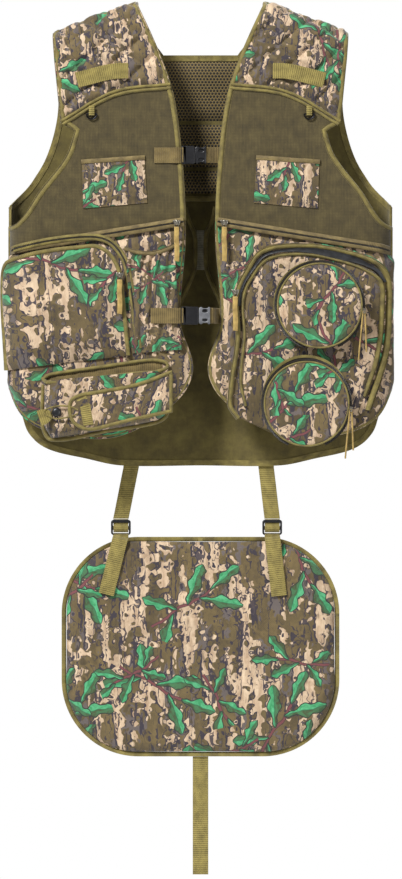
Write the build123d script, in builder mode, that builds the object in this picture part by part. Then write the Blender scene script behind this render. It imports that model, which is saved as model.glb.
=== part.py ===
"""Turkey hunter's vest with a drop-down padded seat, hanging as on a pair of shoulders.

Millimetres, +Z up, +X to the wearer's left, -Y out of the vest's front. The origin is the middle of
the neck, level with the line that the shoulders rest on. Cloth pieces are plain closed solids: each
is an outline seen from the front, cut out of a shell that follows the vest's flat faces, its round
side seams and its arched shoulders. `offset` always means distance outwards from the vest's lining.
"""
import os
from functools import cache
from math import cos, hypot, radians, sin

from build123d import *

os.makedirs("parts", exist_ok=True)

# Body of the vest
half_width = 305.0
half_depth = 40.0
neck_half_width = 102.0
neck_top = 7.0
shoulder_half_width = 238.0
shoulder_drop = 51.0
back_hem = -735.0
front_hem = -690.0
seam_clearance = 0.4
running_clearance = 0.06
body_clearance = 0.5

# Cloth and trim
panel_thickness = 2.5
yoke_thickness = 7.0
binding_width = 8.0
binding_thickness = 4.0
webbing_width = 25.0
webbing_thickness = 1.6
zip_band_width = 14.0

# Pockets
cargo_thickness = 12.0
flat_pocket_thickness = 6.0
full_pocket_thickness = 18.0
pocket_gap = 4.0
gathered_thickness = 8.0
pocket_wall = 1.5
chest_pocket_thickness = 6.5
holster_depth = 30.0
holster_wall = 3.0
pot_radius = 67.5
pot_spacing = 21.5
pot_cup_depth = 24.0
pot_lid_thickness = 7.6
pot_wall = 3.0

# Hardware
slider_length = 9.0
slider_width = 12.0
slider_thickness = 3.4
slider_ear_thickness = 1.2
slider_ear_height = 4.4
slider_ear_length = 4.6
slider_pin_rise = 3.1
pin_radius = 0.8
pull_eye_wall = 1.0
pull_width = 8.0
pull_length = 62.0
rim_pin_radius = 1.0
rim_slider_width = 6.0
rim_slider_length = 12.0
rim_slider_depth = 8.0
rim_angle = -9.0
cord_thickness = 2.2
cord_lift = 1.0
ring_bar_radius = 1.2
ring_inner_radius = 7.0
ring_tab_width = 9.0
ring_tab_wall = 2.0
ring_tab_rise = 10.0
buckle_height = webbing_width + 4.0
buckle_thickness = 9.0
socket_length = 18.0
cavity_length = 14.0
cavity_height = buckle_height - 5.0
cavity_thickness = 5.6
window_length = 7.0
window_thickness = 4.0
window_start = 5.5
prong_reach = 13.0
prong_height = 6.0
prong_clearance = 0.5
latch_height = 3.6
latch_clearance = 0.7
strap_slot_width = 3.4
strap_slot_middle = 4.2
lock_width = webbing_width + 7.0
lock_height = 27.0
lock_thickness = 4.0
lock_rail = 3.0
lock_bar_radius = 1.5
lock_bar_spacing = 10.5

# Seat
seat_width = 445.0
seat_height = 351.0
seat_thickness = 36.0
seat_corner = 122.0
seat_edge_round = 14.0
piping_width = 5.0
piping_thickness = 6.0
tab_eye_wall = 1.4
strap_top_x = (-112.0, 106.0)
lock_x = (-128.6, 115.8)
tail_tilt = (14.0, -6.5)
strap_drop = 83.5
strap_tail_length = 91.0
tail_strap_length = 190.0

# Reach of the outlines and forms beyond the cloth, so that the form always sets the outer surface
spare = 25.0
form_bottom = -900.0
form_height = 1000.0
form_reach = 700.0

face = half_depth
side_reach = half_width + spare
top_reach = 60.0


def ridge_plane(side):
    """Plane across one shoulder seam, its normal running outwards along the seam."""
    run = shoulder_half_width - neck_half_width
    length = hypot(run, shoulder_drop)
    return Plane(
        origin=(side * neck_half_width, 0, neck_top),
        x_dir=(0, side, 0),
        z_dir=(side * run / length, 0, -shoulder_drop / length),
    )


@cache
def vest_form(side, offset_out):
    """Everything inside the vest's surface on one side, grown outwards by an offset."""
    radius = half_depth + offset_out
    with BuildPart() as form:
        with BuildSketch(Plane.XY.offset(form_bottom)):
            SlotOverall(2 * (half_width + offset_out), 2 * radius)
        extrude(amount=form_height)
        with BuildSketch(ridge_plane(side)):
            with Locations((0, -half_depth)):
                Circle(radius)
            with Locations((0, -half_depth - form_height / 2)):
                Rectangle(2 * radius, form_height)
        extrude(amount=form_reach, both=True, mode=Mode.INTERSECT)
    return form.part


def polygon(points, side=1):
    """Closed outline in the front view, given for the wearer's left and mirrored by `side`."""
    with BuildSketch() as shape:
        with BuildLine():
            Polyline(*[(side * x, z) for x, z in points], close=True)
        make_face()
    return shape.sketch


def inset(shape, amount):
    """The outline moved inwards all round."""
    with BuildSketch() as smaller:
        add(shape)
        offset(amount=-amount, kind=Kind.INTERSECTION)
    return smaller.sketch


def common(*shapes):
    """What all the outlines cover."""
    with BuildSketch() as overlap:
        add(shapes[0])
        for shape in shapes[1:]:
            add(shape, mode=Mode.INTERSECT)
    return overlap.sketch


def without(shape, *holes):
    """The outline less the others."""
    with BuildSketch() as rest:
        add(shape)
        for hole in holes:
            add(hole, mode=Mode.SUBTRACT)
    return rest.sketch


def front_shell(shape, side, inner, outer, clearance=seam_clearance):
    """The front cloth behind an outline, from one offset to another."""
    with BuildPart() as cloth:
        with BuildSketch(Plane.XZ.offset(clearance)):
            add(shape)
        extrude(amount=half_depth + spare * 3)
        add(vest_form(side, outer), mode=Mode.INTERSECT)
        add(vest_form(side, inner), mode=Mode.SUBTRACT)
    return cloth.part


def back_shell(shape, side, inner, outer):
    """The back cloth behind an outline, from one offset to another."""
    with BuildPart() as cloth:
        with BuildSketch(Plane.XZ.offset(-seam_clearance)):
            add(shape)
        extrude(amount=-half_depth - spare * 3)
        add(vest_form(side, outer), mode=Mode.INTERSECT)
        add(vest_form(side, inner), mode=Mode.SUBTRACT)
    return cloth.part


def slab(shape, nearest, farthest):
    """A flat piece between two distances behind the shoulder plane; negative ones lie in front."""
    with BuildPart() as flat:
        with BuildSketch(Plane.XZ.offset(-nearest)):
            add(shape)
        extrude(amount=nearest - farthest)
    return flat.part


def front_slab(shape, inner, outer):
    """A flat piece on the front, between two offsets."""
    return slab(shape, -face - inner, -face - outer)


def save(piece, name):
    """Label a finished piece and write it to its own file."""
    piece.part.label = name
    export_step(piece.part, f"parts/{name}.step")


# Outlines in the front view, for the wearer's left ----------------------------------------------

front_points = [
    (neck_half_width, top_reach),
    (neck_half_width, neck_top),
    (65, -77),
    (42, -147),
    (28, -259),
    (24, -370),
    (32, -505),
    (12, -580),
    (36, -630),
    (120, front_hem + 5),
    (200, front_hem),
    (half_width - 25, front_hem + 28),
    (half_width + 9, front_hem + 90),
    (side_reach, front_hem + 150),
    (side_reach, -356),
    (half_width - 11, -345),
    (half_width - 49, -294),
    (half_width - 90, -240),
    (half_width - 104, -200),
    (shoulder_half_width - 14, -186),
    (shoulder_half_width - 9, -134),
    (shoulder_half_width, neck_top - shoulder_drop),
    (shoulder_half_width, top_reach),
]

back_points = [
    (0, -74),
    (60, -74),
    (84, -40),
    (neck_half_width, neck_top),
    (neck_half_width, top_reach),
    (shoulder_half_width, top_reach),
    (shoulder_half_width, neck_top - shoulder_drop),
    (shoulder_half_width - 9, -134),
    (half_width - 73, -182),
    (half_width - 56, -240),
    (half_width - 30, -282),
    (half_width + 4, -318),
    (side_reach, -326),
    (side_reach, -585),
    (half_width + 3, -612),
    (half_width - 14, -650),
    (half_width - 27, -683),
    (half_width - 58, -708),
    (184, -724),
    (128, back_hem),
    (0, back_hem),
]

yoke_zone = [
    (-10, 200),
    (-10, -121),
    (48, -128),
    (137, -140),
    (222, -187),
    (450, -315),
    (450, 200),
]


def zip_height(x):
    """Height of the long zip's middle line at a distance from the front's centre."""
    return -341.0 - 0.161 * x


def zip_zone(top, bottom):
    """The strip between two distances from the long zip's middle line."""
    reach = 450.0
    return [
        (0, zip_height(0) + top),
        (reach, zip_height(reach) + top),
        (reach, zip_height(reach) + bottom),
        (0, zip_height(0) + bottom),
    ]


chest_pocket_points = [(90, -239), (190, -246), (187.5, -324), (85, -315)]
chest_mouth_points = [(92, -237), (188, -244), (185.5, -322), (87, -313)]
chest_trim_points = [(90, -239), (190, -246), (189.8, -253), (89.7, -246)]
organizer_points = [
    (113, -559),
    (125, -440),
    (132, -413),
    (150, -390),
    (174, -382),
    (half_width + 1, zip_height(half_width + 1) - 15.7),
    (half_width + 13, -440),
    (half_width + 7, -583),
]
gathered_points = [(120, -391), (80, -396), (42, -386), (30, -550), (109, -556)]
arch_points = [
    (55, -655),
    (42, -637),
    (55, -528),
    (52, -462),
    (71, -419),
    (97, -387),
    (169, zip_height(169) - zip_band_width / 2 - pocket_gap),
    (half_width - 67, zip_height(half_width - 67) - zip_band_width / 2 - pocket_gap),
    (half_width - 19, zip_height(half_width - 19) - zip_band_width / 2 - 3.5 * pocket_gap),
    (half_width + 1, -430),
    (half_width + 3, -475),
    (half_width - 3, -555),
    (half_width - 32, -650),
    (half_width - 60, -676),
    (200, -684),
    (120, -680),
]
holster_points = [(57, -583), (250, -600), (250, -672), (238, -692), (70, -664), (52, -650)]
holster_mouth_points = [(60, -540), (247, -540), (247, -671), (236, -688.6), (71, -660.6), (57, -648)]
flap_points = [
    (46, -585),
    (100, -605),
    (162, -617),
    (194, -623),
    (208, -634),
    (206, -662),
    (188, -676),
    (172, -678),
    (114, -664),
    (46, -649),
]
loop_grip_points = [(198, -625), (182, -631), (172, -668), (186, -673)]
loop_tab_points = [(259, -646), (244, -641), (240, -667), (254, -672)]
keeper_points = [(118, -93), (198, -107), (196, -131), (115, -116)]


# Fronts -----------------------------------------------------------------------------------------

sides = {"right": -1, "left": 1}
zip_surface = cargo_thickness + 1.5
flat_surface = cargo_thickness + flat_pocket_thickness
gathered_surface = cargo_thickness + gathered_thickness
full_surface = cargo_thickness + full_pocket_thickness
ring_top = -173.0
ring_x = 174.0
chest_strap = (-226.5, -226.5 - webbing_width)
waist_strap = (-483.5, -483.5 - webbing_width)
strap_gap_x = 31.4
strap_patch_x = (74.0, 42.0)
waist_patch_x = 82.0
strap_level = binding_thickness + 0.2
ring_offset = panel_thickness + ring_bar_radius + ring_tab_wall


def band(outer_x, inner_x, strap):
    """Outline of a level strap on the right front."""
    top, bottom = strap
    return polygon([(outer_x, top), (inner_x, top), (inner_x, bottom), (outer_x, bottom)], -1)


for name, side in sides.items():
    outline = polygon(front_points, side)
    panel = inset(outline, binding_width)
    yoke_area = polygon(yoke_zone, side)
    zip_area = polygon(zip_zone(zip_band_width / 2, -zip_band_width / 2), side)
    lower_area = polygon(zip_zone(-zip_band_width / 2, -500), side)

    with BuildPart() as front_yoke:
        add(front_shell(common(panel, yoke_area), side, 0, yoke_thickness))
    save(front_yoke, f"{name}_front_yoke")

    with BuildPart() as front_mesh:
        mesh_area = without(panel, yoke_area, zip_area, lower_area)
        add(front_shell(mesh_area, side, 0, panel_thickness))
    save(front_mesh, f"{name}_front_mesh")

    with BuildPart() as front_bindings:
        add(front_shell(without(outline, panel), side, 0, binding_thickness))
    save(front_bindings, f"{name}_front_bindings")

    with BuildPart() as cargo_pocket:
        add(front_shell(common(panel, lower_area), side, 0, cargo_thickness))
    save(cargo_pocket, f"{name}_cargo_pocket")

    with BuildPart() as top_zip:
        add(front_shell(common(panel, zip_area), side, 0, zip_surface))
    save(top_zip, f"{name}_top_zip")

    with BuildPart() as chest_pocket:
        pocket_top = panel_thickness + chest_pocket_thickness
        add(front_slab(polygon(chest_pocket_points, side), panel_thickness, pocket_top))
        mouth = front_slab(polygon(chest_mouth_points, side), panel_thickness, pocket_top - pocket_wall)
        add(mouth, mode=Mode.SUBTRACT)
        add(front_slab(polygon(chest_trim_points, side), pocket_top, pocket_top + 1.2))
    save(chest_pocket, f"{name}_chest_pocket")

    # Webbing sewn to each front: the yoke's keeper and the loop that holds the D-ring's bar
    with BuildPart() as webbing_tabs:
        keeper_surface = yoke_thickness + webbing_thickness
        add(front_slab(polygon(keeper_points, side), yoke_thickness, keeper_surface))
        with BuildSketch(Plane.YZ.offset(side * ring_x - ring_tab_width / 2)):
            with Locations((-face - ring_offset, ring_top)):
                Circle(ring_bar_radius + ring_tab_wall)
            with Locations((-face - ring_offset, ring_top + ring_tab_rise / 2)):
                Rectangle(2 * (ring_bar_radius + ring_tab_wall), ring_tab_rise)
            with Locations((-face - ring_offset, ring_top)):
                Circle(ring_bar_radius + running_clearance, mode=Mode.SUBTRACT)
        extrude(amount=ring_tab_width)
        add(vest_form(side, panel_thickness), mode=Mode.SUBTRACT)
        add(front_shell(common(panel, yoke_area), side, 0, yoke_thickness), mode=Mode.SUBTRACT)
        if name == "right":
            add(front_slab(band(*strap_patch_x, chest_strap), panel_thickness, strap_level))
            over_binding = band(strap_patch_x[0], strap_gap_x, chest_strap)
            add(front_slab(over_binding, strap_level, strap_level + webbing_thickness))
            waist = band(waist_patch_x, strap_gap_x, waist_strap)
            add(front_slab(waist, gathered_surface, gathered_surface + webbing_thickness))
    save(webbing_tabs, f"{name}_webbing_tabs")

    with BuildPart() as d_ring:
        half_bar = ring_inner_radius + ring_bar_radius
        with BuildSketch(Plane.YZ.offset(side * ring_x - half_bar)):
            with Locations((-face - ring_offset, ring_top)):
                Circle(ring_bar_radius)
        extrude(amount=2 * half_bar)
        with BuildSketch(Plane.XY.offset(ring_top)):
            with Locations((side * ring_x + half_bar, -face - ring_offset)):
                Circle(ring_bar_radius)
        bow_axis = Axis((side * ring_x, -face - ring_offset, ring_top), (0, 1, 0))
        revolve(axis=bow_axis, revolution_arc=180)
    save(d_ring, f"{name}_d_ring")


# Pockets of the right front ---------------------------------------------------------------------

pocket_divide = -455.0
full_zone = polygon([(-400, pocket_divide), (400, pocket_divide), (400, -800), (-400, -800)])

with BuildPart() as organizer_zip:
    organizer = polygon(organizer_points, -1)
    zip_corner = polygon([(0, -300), (half_width - 5, -300), (half_width - 5, -430), (160, -430),
                          (140, -560), (0, -560)], -1)
    organizer_ring = common(without(organizer, inset(organizer, 5)), zip_corner)
    add(front_shell(organizer_ring, -1, cargo_thickness, flat_surface - 1, body_clearance * 10))
save(organizer_zip, "organizer_zip")

with BuildPart() as organizer_pocket:
    organizer_face = without(organizer, organizer_ring)
    add(front_shell(organizer_face, -1, cargo_thickness, flat_surface, body_clearance * 10))
    bulge = common(inset(organizer, 20), full_zone)
    add(front_shell(bulge, -1, cargo_thickness, full_surface, body_clearance * 10))
save(organizer_pocket, "organizer_pocket")

with BuildPart() as gathered_pocket:
    gathered = polygon(gathered_points, -1)
    add(front_slab(gathered, cargo_thickness, flat_surface))
    add(front_slab(common(gathered, full_zone), cargo_thickness, gathered_surface))
    mouth = [(118, -380), (44, -380), (33, -548), (107, -554)]
    add(front_slab(polygon(mouth, -1), cargo_thickness, flat_surface - pocket_wall), mode=Mode.SUBTRACT)
    elastic = [(120, -391), (80, -396), (42, -386), (41.6, -391), (80, -401), (119.7, -396)]
    add(front_slab(polygon(elastic, -1), flat_surface, flat_surface + 1))
save(gathered_pocket, "gathered_pocket")

# Holster: an open-topped trough with a flap that swings from its inner end
holster_face = cargo_thickness + holster_depth
with BuildPart() as holster:
    add(front_slab(polygon(holster_points, -1), cargo_thickness, holster_face))
    hollow = front_slab(polygon(holster_mouth_points, -1), cargo_thickness + holster_wall,
                        holster_face - holster_wall)
    add(hollow, mode=Mode.SUBTRACT)
save(holster, "call_holster")

flap_inner = holster_face + body_clearance
flap_outer = flap_inner + 3.0
with BuildPart() as holster_flap:
    add(front_slab(polygon(flap_points, -1), flap_inner, flap_outer))
save(holster_flap, "holster_flap")

toggle_x = -229.0
toggle_z = -650.0
toggle_radius = 7.5
with BuildPart() as holster_loop:
    with BuildSketch(Plane.XZ.offset(face + flap_outer)):
        with Locations((toggle_x + 4, toggle_z)):
            Ellipse(toggle_radius + 17.5, toggle_radius + 6.5)
            Ellipse(toggle_radius + 15, toggle_radius + 4, mode=Mode.SUBTRACT)
        add(polygon(loop_tab_points, -1))
        add(polygon(loop_grip_points, -1))
    extrude(amount=2)
save(holster_loop, "holster_loop")

with BuildPart() as holster_toggle:
    with BuildSketch(Plane.XZ.offset(face + holster_face)):
        with Locations((toggle_x, toggle_z)):
            Circle(toggle_radius)
    extrude(amount=7)
    fillet(holster_toggle.faces().sort_by(Axis.Y)[0].edges(), 3)
save(holster_toggle, "holster_toggle")


# Pockets of the left front ----------------------------------------------------------------------

with BuildPart() as arch_zip:
    arch = polygon(arch_points)
    arch_ring = without(arch, inset(arch, 6))
    add(front_shell(arch_ring, 1, cargo_thickness, flat_surface, body_clearance * 10))
save(arch_zip, "arch_zip")

with BuildPart() as arch_pocket:
    add(front_shell(inset(arch, 6), 1, cargo_thickness, flat_surface, body_clearance * 10))
save(arch_pocket, "arch_pocket")

pot_x = half_width - half_depth - pot_radius - 7.5
upper_pot_z = -480.3
lower_pot_z = upper_pot_z - 2 * pot_radius - pot_spacing
pots = {"upper": (pot_x, upper_pot_z), "lower": (pot_x - 21.0, lower_pot_z)}
cup_top = flat_surface + pot_cup_depth
lid_bottom = cup_top + body_clearance
lid_top = lid_bottom + pot_lid_thickness

for name, centre in pots.items():
    with BuildPart() as pot_cup:
        with BuildSketch(Plane.XZ.offset(face + flat_surface)):
            with Locations(centre):
                Circle(pot_radius)
        extrude(amount=pot_cup_depth)
        with BuildSketch(Plane.XZ.offset(face + flat_surface + pocket_wall)):
            with Locations(centre):
                Circle(pot_radius - pot_wall)
        extrude(amount=pot_cup_depth, mode=Mode.SUBTRACT)
    save(pot_cup, f"{name}_pot_pocket")

    with BuildPart() as pot_lid:
        with BuildSketch(Plane.XZ.offset(face + lid_bottom)):
            with Locations(centre):
                Circle(pot_radius)
        extrude(amount=pot_lid_thickness)
        fillet(pot_lid.faces().sort_by(Axis.Y)[0].edges(), 4)
    save(pot_lid, f"{name}_pot_lid")


# Zip sliders and their pulls --------------------------------------------------------------------

def slider_with_pull(name, x, z, surface):
    """A slider on a zip's face, with a cross pin that a hanging tape pull turns on."""
    base = surface + body_clearance
    pin_offset = base + slider_thickness + slider_pin_rise
    ear_middle = (pull_width + slider_ear_thickness) / 2 + body_clearance
    with BuildPart() as slider:
        with BuildSketch(Plane.XZ.offset(face + base)):
            with Locations((x, z)):
                RectangleRounded(slider_width, slider_length, 2)
        extrude(amount=slider_thickness)
        for ear in (-1, 1):
            with BuildSketch(Plane.YZ.offset(x + ear * ear_middle - slider_ear_thickness / 2)):
                with Locations((-face - base - slider_thickness - 2, z)):
                    Rectangle(slider_ear_height, slider_ear_length)
            extrude(amount=slider_ear_thickness)
        with BuildSketch(Plane.YZ.offset(x - ear_middle)):
            with Locations((-face - pin_offset, z)):
                Circle(pin_radius)
        extrude(amount=2 * ear_middle)
    save(slider, f"{name}_slider")

    with BuildPart() as pull:
        with BuildSketch(Plane.YZ.offset(x - pull_width / 2)):
            with Locations((-face - pin_offset, z)):
                Circle(pin_radius + pull_eye_wall)
            with Locations((-face - pin_offset, z - pull_length / 2)):
                Rectangle(webbing_thickness, pull_length)
            with Locations((-face - pin_offset, z)):
                Circle(pin_radius + running_clearance, mode=Mode.SUBTRACT)
        extrude(amount=pull_width)
    save(pull, f"{name}_pull")
    print(f"{name}: pull turns on x={x:.2f} y={-face - pin_offset:.2f} z={z:.2f}")


slider_with_pull("right_top_zip", -38.0, zip_height(38.0), zip_surface)
slider_with_pull("left_top_zip", 38.0, zip_height(38.0), zip_surface)
slider_with_pull("organizer_zip", -129.0, -431.0, flat_surface)
slider_with_pull("arch_zip", 55.5, -458.0, flat_surface)

# The round pockets' sliders run on the rim, and their cord pulls hang in front of the lid
rim_reach = pot_radius + body_clearance + rim_slider_width / 2
cord_strands = [
    [(-3, 0), (-0.4, 0), (-7, -77), (-10.5, -77)],
    [(0.4, 0), (3, 0), (4.5, -64), (1.5, -64)],
]
for name, (pot_centre_x, pot_centre_z) in pots.items():
    slider_x = pot_centre_x + rim_reach * cos(radians(rim_angle))
    slider_z = pot_centre_z + rim_reach * sin(radians(rim_angle))
    with BuildPart() as rim_slider:
        with BuildSketch(Plane.XZ.offset(face + cup_top - rim_slider_depth / 2)):
            with Locations(Location((slider_x, slider_z), rim_angle)):
                RectangleRounded(rim_slider_width, rim_slider_length, 1.5)
        extrude(amount=rim_slider_depth)
        with BuildSketch(Plane.XZ.offset(face + cup_top + rim_slider_depth / 2)):
            with Locations((slider_x, slider_z)):
                Circle(rim_pin_radius)
        extrude(amount=lid_top - cup_top)
        with BuildSketch(Plane.XZ.offset(face + lid_top + cord_lift + cord_thickness + seam_clearance)):
            with Locations((slider_x, slider_z)):
                Circle(rim_pin_radius + 1)
        extrude(amount=1)
    save(rim_slider, f"{name}_pot_slider")

    with BuildPart() as cord_pull:
        with BuildSketch(Plane.XZ.offset(face + lid_top + cord_lift)):
            with Locations((slider_x, slider_z)):
                Circle(rim_pin_radius + 2)
            for strand in cord_strands:
                add(polygon([(slider_x + x, slider_z + z) for x, z in strand]))
            with Locations((slider_x, slider_z)):
                Circle(rim_pin_radius + running_clearance, mode=Mode.SUBTRACT)
        extrude(amount=cord_thickness)
    save(cord_pull, f"{name}_pot_pull")
    print(f"{name}_pot: slider pin x={slider_x:.2f} y={-face - lid_top - 2:.2f} z={slider_z:.2f}")


# Side-release buckles ---------------------------------------------------------------------------

buckles = {
    "chest": (-30.6, 9.4, strap_level + webbing_thickness, chest_strap),
    "waist": (-30.6, 15.5, gathered_surface + webbing_thickness, waist_strap),
}

for name, (tail_x, end_x, surface, strap) in buckles.items():
    middle_z = (strap[0] + strap[1]) / 2
    level = surface + body_clearance + buckle_thickness / 2
    mouth_x = end_x - socket_length
    with BuildPart() as socket:
        with BuildSketch(Plane.XZ.offset(face + level - buckle_thickness / 2)):
            with Locations(((mouth_x + end_x) / 2, middle_z)):
                RectangleRounded(end_x - mouth_x, buckle_height, 2.5)
        extrude(amount=buckle_thickness)
        with BuildSketch(Plane.XZ.offset(face + level - cavity_thickness / 2)):
            with Locations((mouth_x + cavity_length / 2, middle_z)):
                Rectangle(cavity_length, cavity_height)
        extrude(amount=cavity_thickness, mode=Mode.SUBTRACT)
        with BuildSketch(Plane.XZ.offset(face + level - window_thickness / 2)):
            with Locations((mouth_x + window_start + window_length / 2, middle_z)):
                Rectangle(window_length, buckle_height + 2)
        extrude(amount=window_thickness, mode=Mode.SUBTRACT)
    save(socket, f"{name}_buckle_socket")

    with BuildPart() as plug:
        base_x = mouth_x - body_clearance
        with BuildSketch(Plane.XZ.offset(face + level - buckle_thickness / 2)):
            with Locations(((tail_x + base_x) / 2, middle_z)):
                RectangleRounded(base_x - tail_x, buckle_height, 2)
            with Locations((tail_x + strap_slot_middle, middle_z)):
                Rectangle(strap_slot_width, webbing_width + 0.6, mode=Mode.SUBTRACT)
        extrude(amount=buckle_thickness)
        with BuildSketch(Plane.XZ.offset(face + level - cavity_thickness / 2 + prong_clearance)):
            prong_length = prong_reach - prong_clearance
            with Locations((base_x + prong_length / 2, middle_z)):
                Rectangle(prong_length, prong_height)
            for arm in (-1, 1):
                arm_z = middle_z + arm * ((cavity_height - latch_height) / 2 - latch_clearance)
                with Locations((base_x + prong_length / 2, arm_z)):
                    Rectangle(prong_length, latch_height)
        extrude(amount=cavity_thickness - 2 * prong_clearance)
    save(plug, f"{name}_buckle_plug")

# The left front's strap ends pass behind its edge and run out to the sockets
with BuildPart() as strap_ends:
    for tail_x, end_x, surface, strap in buckles.values():
        level = surface + body_clearance + buckle_thickness / 2
        inside = -half_depth + webbing_thickness
        with BuildSketch(Plane.XY.offset(strap[1])):
            with BuildLine() as route:
                Polyline((64, inside), (24, inside), (end_x + 3, -face - level + 1),
                         (end_x + 3, -face - level),
                         (end_x + webbing_thickness / 2, -face - level))
            trace(route.line, webbing_thickness)
        extrude(amount=webbing_width)
save(strap_ends, "left_strap_ends")


# Back -------------------------------------------------------------------------------------------

def both_sides(area, inner, outer):
    """A back piece made of two mirrored halves that meet on the centre line."""
    with BuildPart() as halves:
        for side in (-1, 1):
            add(back_shell(area(side), side, inner, outer))
    return halves.part


def back_outline(side):
    """Half of the back, to the outside of its bindings."""
    return polygon(back_points, side)


def back_panel_area(side):
    """The back inside its bindings; the centre line is no edge, so it isn't moved in."""
    whole = polygon(back_points + [(-60, back_hem), (-60, -74)], side)
    return common(inset(whole, binding_width), back_outline(side))


back_yoke_zone = [(78, 200), (78, -150), (450, -150), (450, 200)]


def back_yoke_area(side):
    """The yoke's share of the back panel."""
    return common(back_panel_area(side), polygon(back_yoke_zone, side))


def back_cloth_area(side):
    """The plain cloth's share of the back panel."""
    return without(back_panel_area(side), polygon(back_yoke_zone, side))


def back_binding_area(side):
    """The tape round the back's edge."""
    return without(back_outline(side), back_panel_area(side))


with BuildPart() as back_yokes:
    add(both_sides(back_yoke_area, 0, yoke_thickness))
save(back_yokes, "back_yokes")

with BuildPart() as back_panel:
    add(both_sides(back_cloth_area, 0, panel_thickness))
save(back_panel, "back_panel")

with BuildPart() as back_bindings:
    add(both_sides(back_binding_area, 0, binding_thickness))
save(back_bindings, "back_bindings")

with BuildPart() as game_bag:
    bag_side = [(half_width - 75, -420), (half_width - 75, -660), (150, -708)]
    bag = bag_side + [(-x, z) for x, z in reversed(bag_side)]
    add(slab(polygon(bag), face + panel_thickness, face + cargo_thickness))
save(game_bag, "game_bag")

pad_thickness = 6.0
pads = [(78, -84, -179), (96, -186, -254), (96, -260, -297)]
with BuildPart() as back_pads:
    for pad_half, pad_top, pad_bottom in pads:
        with BuildSketch(Plane.XZ.offset(-face + pad_thickness)):
            with Locations((0, (pad_top + pad_bottom) / 2)):
                RectangleRounded(2 * pad_half, pad_top - pad_bottom, 12)
        extrude(amount=-pad_thickness)
save(back_pads, "back_pads")

with BuildPart() as back_trim:
    crossing = [(-150, -300), (150, -300), (150, -310), (-150, -310)]
    add(slab(polygon(crossing), face - webbing_thickness, face))
    tab_half = [(20, -338), (9, -358), (9, -416), (30, -470), (34, -560)]
    tab = tab_half + [(-x, z) for x, z in reversed(tab_half)]
    add(slab(polygon(tab), face - 3, face))
save(back_trim, "back_centre_tab")


# Seat and its straps ----------------------------------------------------------------------------

strap_plane = half_depth + 5.0
hinge_z = back_hem - 3.0
lock_top = hinge_z - strap_drop - body_clearance
lock_bottom = lock_top - lock_height
lock_bar_z = lock_bottom + lock_bar_radius
seat_top = lock_bottom - 3.5
seat_middle = seat_top - seat_height / 2
half_webbing = webbing_width / 2
half_strap = webbing_thickness / 2

with BuildPart() as strap_anchors:
    for top_x in strap_top_x:
        patch = [(top_x - half_webbing, back_hem + 22), (top_x + half_webbing, back_hem + 22),
                 (top_x + half_webbing, back_hem + 0.5), (top_x - half_webbing, back_hem + 0.5)]
        add(slab(polygon(patch), face + binding_thickness, face + binding_thickness + 1.2))
save(strap_anchors, "seat_strap_anchors")

with BuildPart() as seat_straps:
    for top_x, low_x in zip(strap_top_x, lock_x):
        strap = [(top_x - half_webbing, hinge_z - 1.5), (top_x + half_webbing, hinge_z - 1.5),
                 (low_x + half_webbing, hinge_z - strap_drop), (low_x - half_webbing, hinge_z - strap_drop)]
        add(slab(polygon(strap), strap_plane - half_strap, strap_plane + half_strap))
save(seat_straps, "seat_straps")

with BuildPart() as ladder_locks:
    for low_x in lock_x:
        with BuildSketch(Plane.XZ.offset(-strap_plane + lock_thickness / 2)):
            with Locations((low_x, (lock_top + lock_bottom + lock_rail) / 2)):
                RectangleRounded(lock_width, lock_height - lock_rail, 3)
            with Locations((low_x, (lock_top + lock_bottom) / 2)):
                Rectangle(lock_width - 2 * lock_rail, lock_height - 2 * lock_rail, mode=Mode.SUBTRACT)
        extrude(amount=-lock_thickness)
        with BuildSketch(Plane.YZ.offset(low_x - (lock_width - lock_rail) / 2)):
            with Locations((strap_plane, lock_bar_z), (strap_plane, lock_bar_z + lock_bar_spacing)):
                Circle(lock_bar_radius)
        extrude(amount=lock_width - lock_rail)
        for rail in (-1, 1):
            with BuildSketch(Plane.XZ.offset(-strap_plane + lock_thickness / 2)):
                with Locations((low_x + rail * (lock_width - lock_rail) / 2, lock_bar_z + 4)):
                    Rectangle(lock_rail, 11)
            extrude(amount=-lock_thickness)
save(ladder_locks, "ladder_locks")

with BuildPart() as seat_tabs:
    for low_x in lock_x:
        with BuildSketch(Plane.YZ.offset(low_x - half_webbing + 0.5)):
            with Locations((strap_plane, lock_bar_z)):
                Circle(lock_bar_radius + running_clearance + tab_eye_wall)
            with Locations((strap_plane, (lock_bar_z + seat_top) / 2)):
                Rectangle(2 * webbing_thickness, lock_bar_z - seat_top)
            with Locations((strap_plane, lock_bar_z)):
                Circle(lock_bar_radius + running_clearance, mode=Mode.SUBTRACT)
        extrude(amount=webbing_width - 1)
save(seat_tabs, "seat_tabs")

with BuildPart() as seat_pad:
    with BuildSketch(Plane.XZ.offset(-strap_plane - seat_thickness / 2)):
        with Locations((0, seat_middle)):
            RectangleRounded(seat_width - 2 * piping_width, seat_height - 2 * piping_width,
                             seat_corner - piping_width)
    extrude(amount=seat_thickness)
    outer_faces = seat_pad.faces().sort_by(Axis.Y)
    fillet(outer_faces[0].edges() + outer_faces[-1].edges(), seat_edge_round)
save(seat_pad, "seat_pad")

with BuildPart() as seat_binding:
    with BuildSketch(Plane.XZ.offset(-strap_plane - piping_thickness / 2)):
        with Locations((0, seat_middle)):
            RectangleRounded(seat_width, seat_height, seat_corner)
            RectangleRounded(seat_width - 2 * piping_width, seat_height - 2 * piping_width,
                             seat_corner - piping_width, mode=Mode.SUBTRACT)
    extrude(amount=piping_thickness)
save(seat_binding, "seat_binding")

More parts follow.
